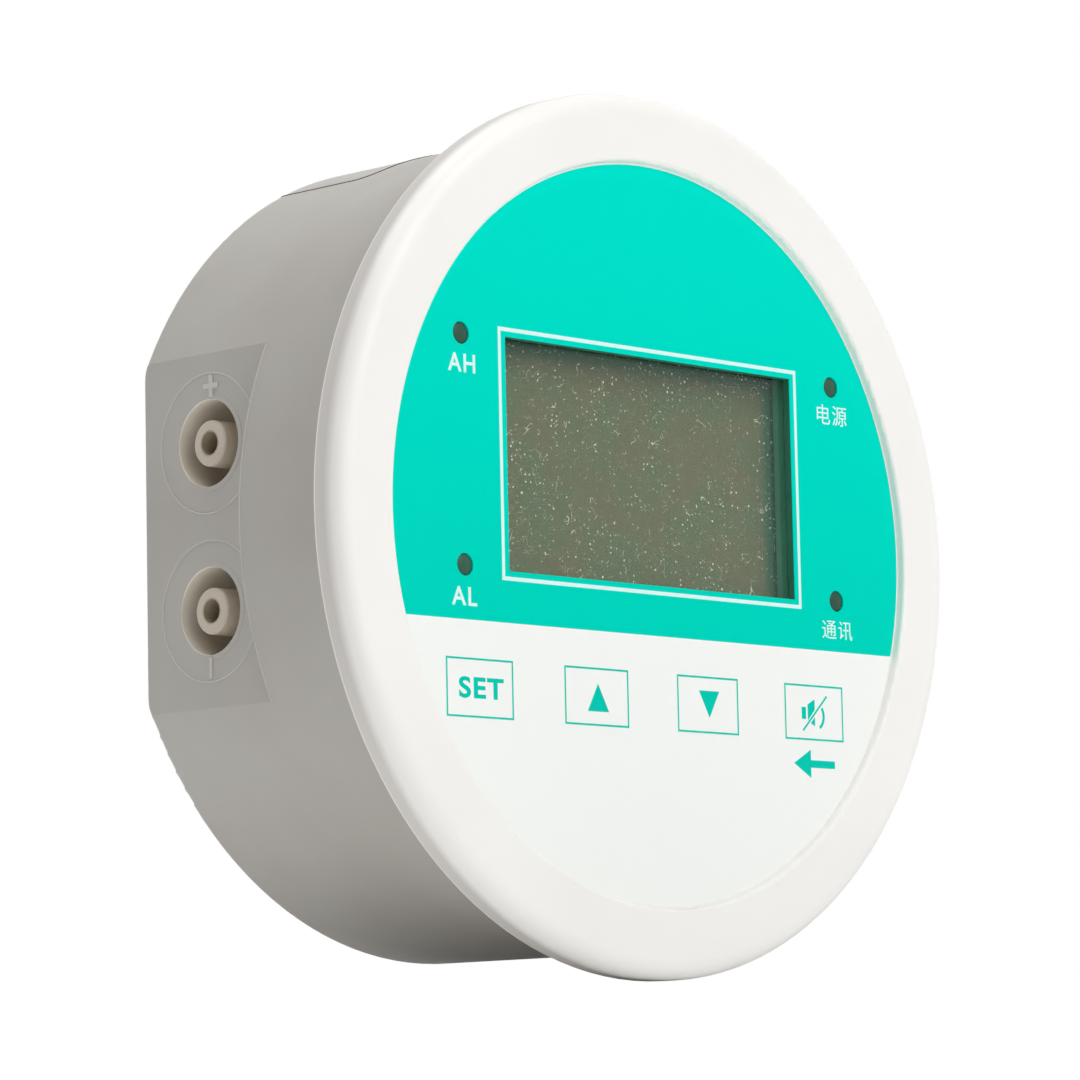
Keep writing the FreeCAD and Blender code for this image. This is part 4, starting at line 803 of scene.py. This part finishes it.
# %% The smoked lenses
def smoked_lens(name, place):
    """A low dome in the film's hole, with its top just below the film's face."""
    start_fresh()
    base = on_film(place) + Vector((0, LENS_SINK + LENS_RISE, 0))
    bpy.ops.mesh.primitive_uv_sphere_add(
        segments=48, ring_count=24, radius=LENS_RADIUS, location=base, rotation=FACING_FRONT)
    bpy.context.object.scale = (1, 1, LENS_RISE / LENS_RADIUS)
    bpy.ops.object.transform_apply(location=True, rotation=True, scale=True)
    bpy.ops.object.mode_set(mode="EDIT")
    bpy.ops.mesh.select_all(action="SELECT")
    bpy.ops.mesh.bisect(plane_co=base, plane_no=(0, -1, 0), clear_inner=True, use_fill=True)
    bpy.ops.object.mode_set(mode="OBJECT")
    bpy.ops.object.shade_smooth_by_angle(angle=math.radians(60))
    return settle(name, smoke)


LENS_RADIUS, LENS_RISE, LENS_SINK = 1.49 * MM, 0.3 * MM, 0.02 * MM
smoke = plastic("smoke", (56, 98, 79), (44, 76, 62), 0.8, 0.25)
smoke.node_tree.nodes["Principled BSDF"].inputs["Specular IOR Level"].default_value = 0.15
for lamp in LAMPS:
    smoked_lens(lamp + "_lens", lamp_places[lamp])
print("four smoked lenses")

# %% [markdown]
# ## Marks beside the ports
#
# The mould leaves raised marks beside the two ports: a plus above the high-pressure one and a
# short upright bar below the other. A fine ring goes round each port. All of them are painted a
# little paler than the housing, a painted highlight where their edges catch the light. The plus
# starts as a grid of nine faces. Its corners are deleted, and its middle rows are drawn together to
# the width of the stroke.


# %% Raised marks
flat_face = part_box("high_port")[0].x
MARK_PROUD = 0.2 * MM
# Painted highlight: the marks, the rings and the flat's edge are paler than the housing.
mark_highlight_grey = plastic("mark_highlight_grey", (210, 207, 201), (196, 193, 187), 0.5, 0.5, 2400, 0.00004)
edge_highlight_grey = plastic("edge_highlight_grey", (212, 209, 204), (199, 196, 190), 0.6, 0.5, 2400, 0.00004)


def choose(mesh, wanted):
    """Select only the vertices that a test picks, with the mesh in object mode."""
    for face in mesh.polygons:
        face.select = False
    for edge in mesh.edges:
        edge.select = False
    for vertex in mesh.vertices:
        vertex.select = wanted(vertex.co)


def raise_mark(name):
    """Pull the active flat mark out of the port flat, and soften its edges."""
    bpy.ops.object.mode_set(mode="EDIT")
    bpy.ops.mesh.select_all(action="SELECT")
    bpy.ops.mesh.extrude_region_move(TRANSFORM_OT_translate={"value": (-MARK_PROUD, 0, 0)})
    bpy.ops.mesh.select_all(action="SELECT")
    bpy.ops.mesh.normals_make_consistent(inside=False)
    bpy.ops.object.mode_set(mode="OBJECT")
    softened = bpy.context.object.modifiers.new("soft_edges", "BEVEL")
    softened.width = MARK_PROUD * 0.6
    softened.segments = 3
    bpy.ops.object.modifier_apply(modifier=softened.name)
    bpy.ops.object.shade_smooth_by_angle(angle=math.radians(50))
    return settle(name, mark_highlight_grey)


PLUS_STEP, BAR_STEP = Vector((0, -0.7 * MM, 7.7 * MM)), Vector((0, -0.1 * MM, -7.7 * MM))
PLUS_SIZE, PLUS_STROKE = 3.0 * MM, 0.75 * MM
FACING_PORT_SIDE = (0, -math.pi / 2, 0)
plus_place = middle("high_port") + PLUS_STEP
plus_place.x = flat_face
start_fresh()
bpy.ops.mesh.primitive_grid_add(
    x_subdivisions=3, y_subdivisions=3, size=PLUS_SIZE, location=plus_place, rotation=FACING_PORT_SIDE)
bpy.ops.object.transform_apply(location=True, rotation=True, scale=True)
mesh = bpy.context.object.data
choose(mesh, lambda place: min(abs(place.y - plus_place.y), abs(place.z - plus_place.z)) > PLUS_SIZE / 3)
bpy.ops.object.mode_set(mode="EDIT")
bpy.ops.mesh.delete(type="VERT")
squeeze = PLUS_STROKE / (PLUS_SIZE / 3)
for axis, factors in (("y", (1, squeeze, 1)), ("z", (1, 1, squeeze))):
    bpy.ops.object.mode_set(mode="OBJECT")
    choose(mesh, lambda place: abs(getattr(place - plus_place, axis)) < PLUS_SIZE / 4)
    bpy.ops.object.mode_set(mode="EDIT")
    bpy.ops.transform.resize(value=factors, center_override=plus_place)
bpy.ops.object.mode_set(mode="OBJECT")
plus_mark = raise_mark("plus_mark")

BAR_LENGTH, BAR_WIDTH = 2.8 * MM, 0.55 * MM
bar_place = middle("low_port") + BAR_STEP
bar_place.x = flat_face
start_fresh()
bpy.ops.mesh.primitive_plane_add(size=1, location=bar_place, rotation=FACING_PORT_SIDE)
bpy.context.object.scale = (BAR_LENGTH, BAR_WIDTH, 1)
bpy.ops.object.transform_apply(location=True, rotation=True, scale=True)
raise_mark("bar_mark")
print("plus_mark has", len(plus_mark.data.vertices), "vertices")

# %% [markdown]
# The ring round a port is a thin torus, half sunk in the flat, painted paler than the housing as a
# painted highlight, and a low grey collar covers the lip of the port itself. The front edge of the
# flat gets a thin pale line, also a painted highlight. It is a small filled circle, spun about the
# housing's axis along that edge.

# %% Rings and the flat's front edge
RING_RADIUS, RING_WIRE = 9.5 * MM, 0.11 * MM
COLLAR_RADIUS, COLLAR_WIDTH, COLLAR_PROUD = 6.7 * MM, 0.75 * MM, 0.05 * MM
for side in ("high", "low"):
    place = middle(side + "_port")
    start_fresh()
    bpy.ops.mesh.primitive_torus_add(
        location=(flat_face, place.y, place.z), rotation=FACING_PORT_SIDE,
        major_radius=RING_RADIUS, minor_radius=RING_WIRE, major_segments=160, minor_segments=10)
    bpy.ops.object.shade_smooth()
    settle(side + "_port_ring", edge_highlight_grey)

    start_fresh()
    bpy.ops.mesh.primitive_circle_add(
        vertices=128, radius=COLLAR_RADIUS, fill_type="NGON", rotation=FACING_PORT_SIDE,
        location=(flat_face, place.y, place.z))
    bpy.ops.object.transform_apply(location=True, rotation=True, scale=True)
    bpy.ops.object.mode_set(mode="EDIT")
    bpy.ops.mesh.inset(thickness=COLLAR_WIDTH)
    bpy.ops.mesh.delete(type="FACE")
    bpy.ops.mesh.select_all(action="SELECT")
    bpy.ops.mesh.extrude_region_move(TRANSFORM_OT_translate={"value": (-COLLAR_PROUD, 0, 0)})
    bpy.ops.mesh.select_all(action="SELECT")
    bpy.ops.mesh.normals_make_consistent(inside=False)
    bpy.ops.object.mode_set(mode="OBJECT")
    settle(side + "_port_collar", finishes["housing_grey"])

# Painted highlight: a pale bead along the flat's front edge.
HOUSING_RADIUS, EDGE_BACK, EDGE_WIRE = 57.0 * MM, 18.3 * MM, 0.1 * MM
half_turn = math.acos(-flat_face / HOUSING_RADIUS)
start_fresh()
bpy.ops.mesh.primitive_circle_add(
    vertices=10, radius=EDGE_WIRE, fill_type="NGON", rotation=(0, half_turn, 0),
    location=(-HOUSING_RADIUS * math.cos(half_turn), EDGE_BACK, HOUSING_RADIUS * math.sin(half_turn)))
bpy.ops.object.transform_apply(location=True, rotation=True, scale=True)
bpy.ops.object.mode_set(mode="EDIT")
bpy.ops.mesh.select_all(action="SELECT")
bpy.ops.mesh.spin(steps=48, angle=2 * half_turn, center=(0, EDGE_BACK, 0), axis=(0, 1, 0))
bpy.ops.mesh.select_all(action="SELECT")
bpy.ops.mesh.remove_doubles(threshold=EDGE_WIRE / 20)
bpy.ops.mesh.normals_make_consistent(inside=False)
bpy.ops.object.mode_set(mode="OBJECT")
bpy.ops.object.shade_smooth_by_angle(angle=math.radians(60))
flat_edge = settle("flat_edge", edge_highlight_grey)
edge_ends = (flat_edge.bound_box[0], flat_edge.bound_box[1])
print("flat_edge spans z", [round(corner[2] / MM, 2) for corner in edge_ends])

# %% [markdown]
# ## The dark cord in the bay cover's seam
#
# A thin dark cord fills the seam round the bay cover. It is painted shade: it stands for the
# shadow in the seam. Seen from above, its line has a straight front, two round corners and two
# straight sides. Each place on that line is lifted to the housing's skin, which draws in where the
# rear edge is rounded. At the back the line runs down and across below the cover. A closed curve
# through these places gets a round section.


# %% The cover's seam, with a dark cord as its painted shade
def on_skin(across, back):
    """The point on the housing's skin at a distance across and a distance back."""
    beyond = min(max(0, back - rounding_starts), REAR_ROUND)
    radius = HOUSING_RADIUS - REAR_ROUND + math.sqrt(REAR_ROUND ** 2 - beyond ** 2)
    return Vector((across, back, math.sqrt(radius ** 2 - across ** 2)))


REAR_ROUND, SEAM, SEAM_CORNER = 1.0 * MM, 0.2 * MM, 3.1 * MM
FRONT_STEPS, TURN_STEPS = 30, 8
cover_low, cover_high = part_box("terminal_cover")
rounding_starts = cover_high.y - REAR_ROUND
seam_side, seam_front = cover_high.x + SEAM / 2, cover_low.y - SEAM / 2
corner_across, corner_back = seam_side - SEAM_CORNER, seam_front + SEAM_CORNER
quarter = [math.pi / 2 * step / TURN_STEPS for step in range(TURN_STEPS + 1)]
line = [(corner_across * step / FRONT_STEPS, seam_front) for step in range(FRONT_STEPS)]
line += [(corner_across + SEAM_CORNER * math.sin(turn), corner_back - SEAM_CORNER * math.cos(turn))
         for turn in quarter]
line += [(seam_side, rounding_starts + REAR_ROUND * math.sin(turn)) for turn in quarter]
right_half = [on_skin(*spot) for spot in line]
right_half.append(Vector((seam_side, cover_high.y, cover_low.z - SEAM / 2)))
left_half = [Vector((-spot.x, spot.y, spot.z)) for spot in reversed(right_half[1:])]

# Painted shade: the dark cord stands for the shadow in the seam.
seam_shadow_curve = bpy.data.curves.new("seam_shadow_cord", "CURVE")
seam_shadow_curve.dimensions = "3D"
seam_shadow_curve.bevel_depth = SEAM / 2
seam_shadow_curve.bevel_resolution = 2
path = seam_shadow_curve.splines.new("POLY")
path.points.add(len(right_half + left_half) - 1)
for point, spot in zip(path.points, right_half + left_half):
    point.co = (*spot, 1)
path.use_cyclic_u = True
seam_shadow = bpy.data.objects.new("seam_shadow_cord", seam_shadow_curve)
bpy.context.scene.collection.objects.link(seam_shadow)
start_fresh()
seam_shadow.select_set(True)
bpy.context.view_layer.objects.active = seam_shadow
bpy.ops.object.convert(target="MESH")
bpy.ops.object.shade_smooth()
settle("seam_shadow_cord", finishes["seal_rubber"], "bay_cover")
print("the seal runs through", len(right_half + left_half), "places")

# %% [markdown]
# ## Threads and numbers at the back
#
# The brass inserts are threaded. The profile of the thread is a small V of three corners, and the
# screw modifier winds it down the bore. The poles of the terminal block are numbered on the slope
# above their screws, where they can be read once the cover is off.

# %% Threads in the inserts
PITCH, THREAD_DEPTH, THREAD_TURNS = 0.7 * MM, 0.22 * MM, 7
INSERT_CIRCLE, INSERT_BORE = 52.4 * MM, 1.65 * MM
insert_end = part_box("mount_inserts")[1].y
for number, angle in enumerate((270, 30, 150), start=1):
    turn = math.radians(angle)
    half_width = 0.45 * PITCH
    profile = bpy.data.meshes.new("thread")
    profile.from_pydata([(INSERT_BORE, 0, -half_width), (INSERT_BORE - THREAD_DEPTH, 0, 0),
                         (INSERT_BORE, 0, half_width)], [(0, 1), (1, 2)], [])
    thread = bpy.data.objects.new("thread", profile)
    bpy.context.scene.collection.objects.link(thread)
    start_fresh()
    thread.select_set(True)
    bpy.context.view_layer.objects.active = thread
    wound = thread.modifiers.new("wound", "SCREW")
    wound.screw_offset = PITCH
    wound.iterations = THREAD_TURNS
    wound.steps = wound.render_steps = 32
    bpy.ops.object.modifier_apply(modifier=wound.name)
    thread.rotation_euler = FACING_FRONT
    thread.location = (INSERT_CIRCLE * math.cos(turn), insert_end - half_width,
                       INSERT_CIRCLE * math.sin(turn))
    settle(f"insert_thread_{number}", finishes["brass"])
    depths = [vertex.co.y / MM for vertex in thread.data.vertices]
    print(f"thread {number} runs from y {min(depths):.2f} to {max(depths):.2f} mm")

# %% Numbers on the terminal block
POLES, POLE_PITCH, NUMBER_SIZE = 6, 5.08 * MM, 2.4 * MM
NOSE = 2.4 * MM
block_low, block_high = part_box("terminal_block")
for pole in range(POLES):
    start_fresh()
    bpy.ops.object.text_add(
        location=((POLES / 2 - 0.5 - pole) * POLE_PITCH, block_high.y - NOSE / 2, block_high.z - NOSE / 2),
        rotation=(math.pi / 4, 0, math.pi))
    digit = bpy.context.object
    digit.data.body = str(pole + 1)
    digit.data.size = NUMBER_SIZE
    digit.data.align_x = digit.data.align_y = "CENTER"
    digit.data.extrude = INK
    bpy.ops.object.convert(target="MESH")
    settle(f"pole_number_{pole + 1}", white_ink)
print("poles are numbered 1 to", POLES)

# %% [markdown]
# ## Floor, light and background
#
# The instrument stands on a pale floor. The camera is lower than the floor, so the floor's
# underside is open to the camera. From above it is plain, keeps the shadow, and fades into the
# white background further out. Rays that only carry light also meet a faint glow in it, less of it
# under the object and more to the sides.


# %% A mask for rays that show the background
def looks_at_background(tree):
    """One for camera, glossy and transmission rays, and nought for rays that carry light."""
    rays = wire(tree, "ShaderNodeLightPath").outputs
    either = worked_out(tree, "MAXIMUM", rays["Is Camera Ray"], rays["Is Glossy Ray"])
    return worked_out(tree, "MAXIMUM", either, rays["Is Transmission Ray"])


print("background mask is ready")

# %% The floor
FLOOR_REACH = 3.0
GLOW_UNDER, GLOW_ASIDE = 0.08, 0.27
DARK_TO, BRIGHT_FROM = 15 * MM, 60 * MM
FLOOR_GREY = 0.82
FADE_FROM, FADE_TO = 0.25, 0.9
start_fresh()
bpy.ops.mesh.primitive_plane_add(size=2 * FLOOR_REACH, location=(0, 0, cad_low.z))
bpy.ops.object.transform_apply(location=True, rotation=True, scale=True)
floor = bpy.context.object
floor.name = "floor"
floor_paint, tree, shader = new_finish("floor_paint")
looking = looks_at_background(tree)
shader.inputs["Base Color"].default_value = (FLOOR_GREY, FLOOR_GREY, FLOOR_GREY, 1)
shader.inputs["Emission Color"].default_value = (1, 1, 1, 1)
aside = worked_out(tree, "ABSOLUTE", wire(
    tree, "ShaderNodeSeparateXYZ", {"Vector": place_on(tree)}).outputs["X"])
glow = stretched(tree, aside, DARK_TO, BRIGHT_FROM, GLOW_UNDER, GLOW_ASIDE)
unseen = worked_out(tree, "SUBTRACT", 1.0, looking)
tree.links.new(worked_out(tree, "MULTIPLY", glow, unseen), shader.inputs["Emission Strength"])
shader.inputs["Roughness"].default_value = 0.9
shader.inputs["Specular IOR Level"].default_value = 0.0
far = wire(tree, "ShaderNodeVectorMath", {0: place_on(tree)}, operation="LENGTH").outputs["Value"]
fade = worked_out(tree, "MULTIPLY", stretched(tree, far, FADE_FROM, FADE_TO, 0, 1), looking)
white = wire(tree, "ShaderNodeEmission", {"Color": (1, 1, 1, 1), "Strength": 1.0}).outputs["Emission"]
faded = wire(tree, "ShaderNodeMixShader", {0: fade, 1: shader.outputs["BSDF"], 2: white})
open_air = wire(tree, "ShaderNodeBsdfTransparent").outputs["BSDF"]
underside = wire(tree, "ShaderNodeNewGeometry").outputs["Backfacing"]
open_below = worked_out(tree, "MULTIPLY", underside, looking)
both = wire(tree, "ShaderNodeMixShader", {0: open_below, 1: faded.outputs["Shader"], 2: open_air})
tree.links.new(both.outputs["Shader"], tree.nodes["Material Output"].inputs["Surface"])
floor.data.materials.append(floor_paint)
floor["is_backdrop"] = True
print("floor at z", round(cad_low.z, 4))

# %% [markdown]
# The world is white to look at and lights the object softly, a little more from above than from
# below. Four large lamps add to it: one high in front, a weak one at the port side, one overhead
# and one behind.

# %% The world and the lamps
LEVEL_LIGHT, LIGHT_ABOVE = 0.06, 0.16
world = bpy.data.worlds.new("studio")
bpy.context.scene.world = world
world.use_nodes = True
tree = world.node_tree
direction = wire(tree, "ShaderNodeTexCoord").outputs["Generated"]
rise = wire(tree, "ShaderNodeSeparateXYZ", {"Vector": direction}).outputs["Z"]
soft = stretched(tree, rise, 0, 1, LEVEL_LIGHT, LIGHT_ABOVE)
brightness = wire(tree, "ShaderNodeMix", {
    0: looks_at_background(tree), 2: soft, 3: 1.0}, data_type="FLOAT").outputs[0]
background = tree.nodes["Background"]
background.inputs["Color"].default_value = (1, 1, 1, 1)
tree.links.new(brightness, background.inputs["Strength"])


def soft_lamp(name, place, size, power):
    """A square lamp that faces the instrument."""
    data = bpy.data.lights.new(name, "AREA")
    data.size = size
    data.energy = power
    lamp = bpy.data.objects.new(name, data)
    bpy.context.scene.collection.objects.link(lamp)
    turn = Vector(place).to_track_quat("Z", "Y").to_matrix().to_4x4()
    lamp.matrix_world = Matrix.Translation(place) @ turn
    return lamp


soft_lamp("front_lamp", (0.25, -1.1, 0.75), 1.0, 8.9)
soft_lamp("low_lamp", (-0.5, -1.2, 0.25), 0.5, 1.2)
soft_lamp("top_lamp", (-0.2, 0.05, 1.2), 0.9, 8.0)
soft_lamp("back_lamp", (0.1, 1.2, 0.1), 0.8, 6.0)
bpy.context.scene.view_settings.view_transform = "Standard"
print("four lamps and a soft world")

# %% [markdown]
# The visual model's box is set against the CAD model's box, and what it has grown by is printed.
# The visual model must not grow beyond the CAD model.

# %% Compare the sizes, and finish
visual_low, visual_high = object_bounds()
grown = (visual_high - visual_low) - (cad_high - cad_low)
print("grown by", [round(side / MM, 3) for side in grown], "mm")
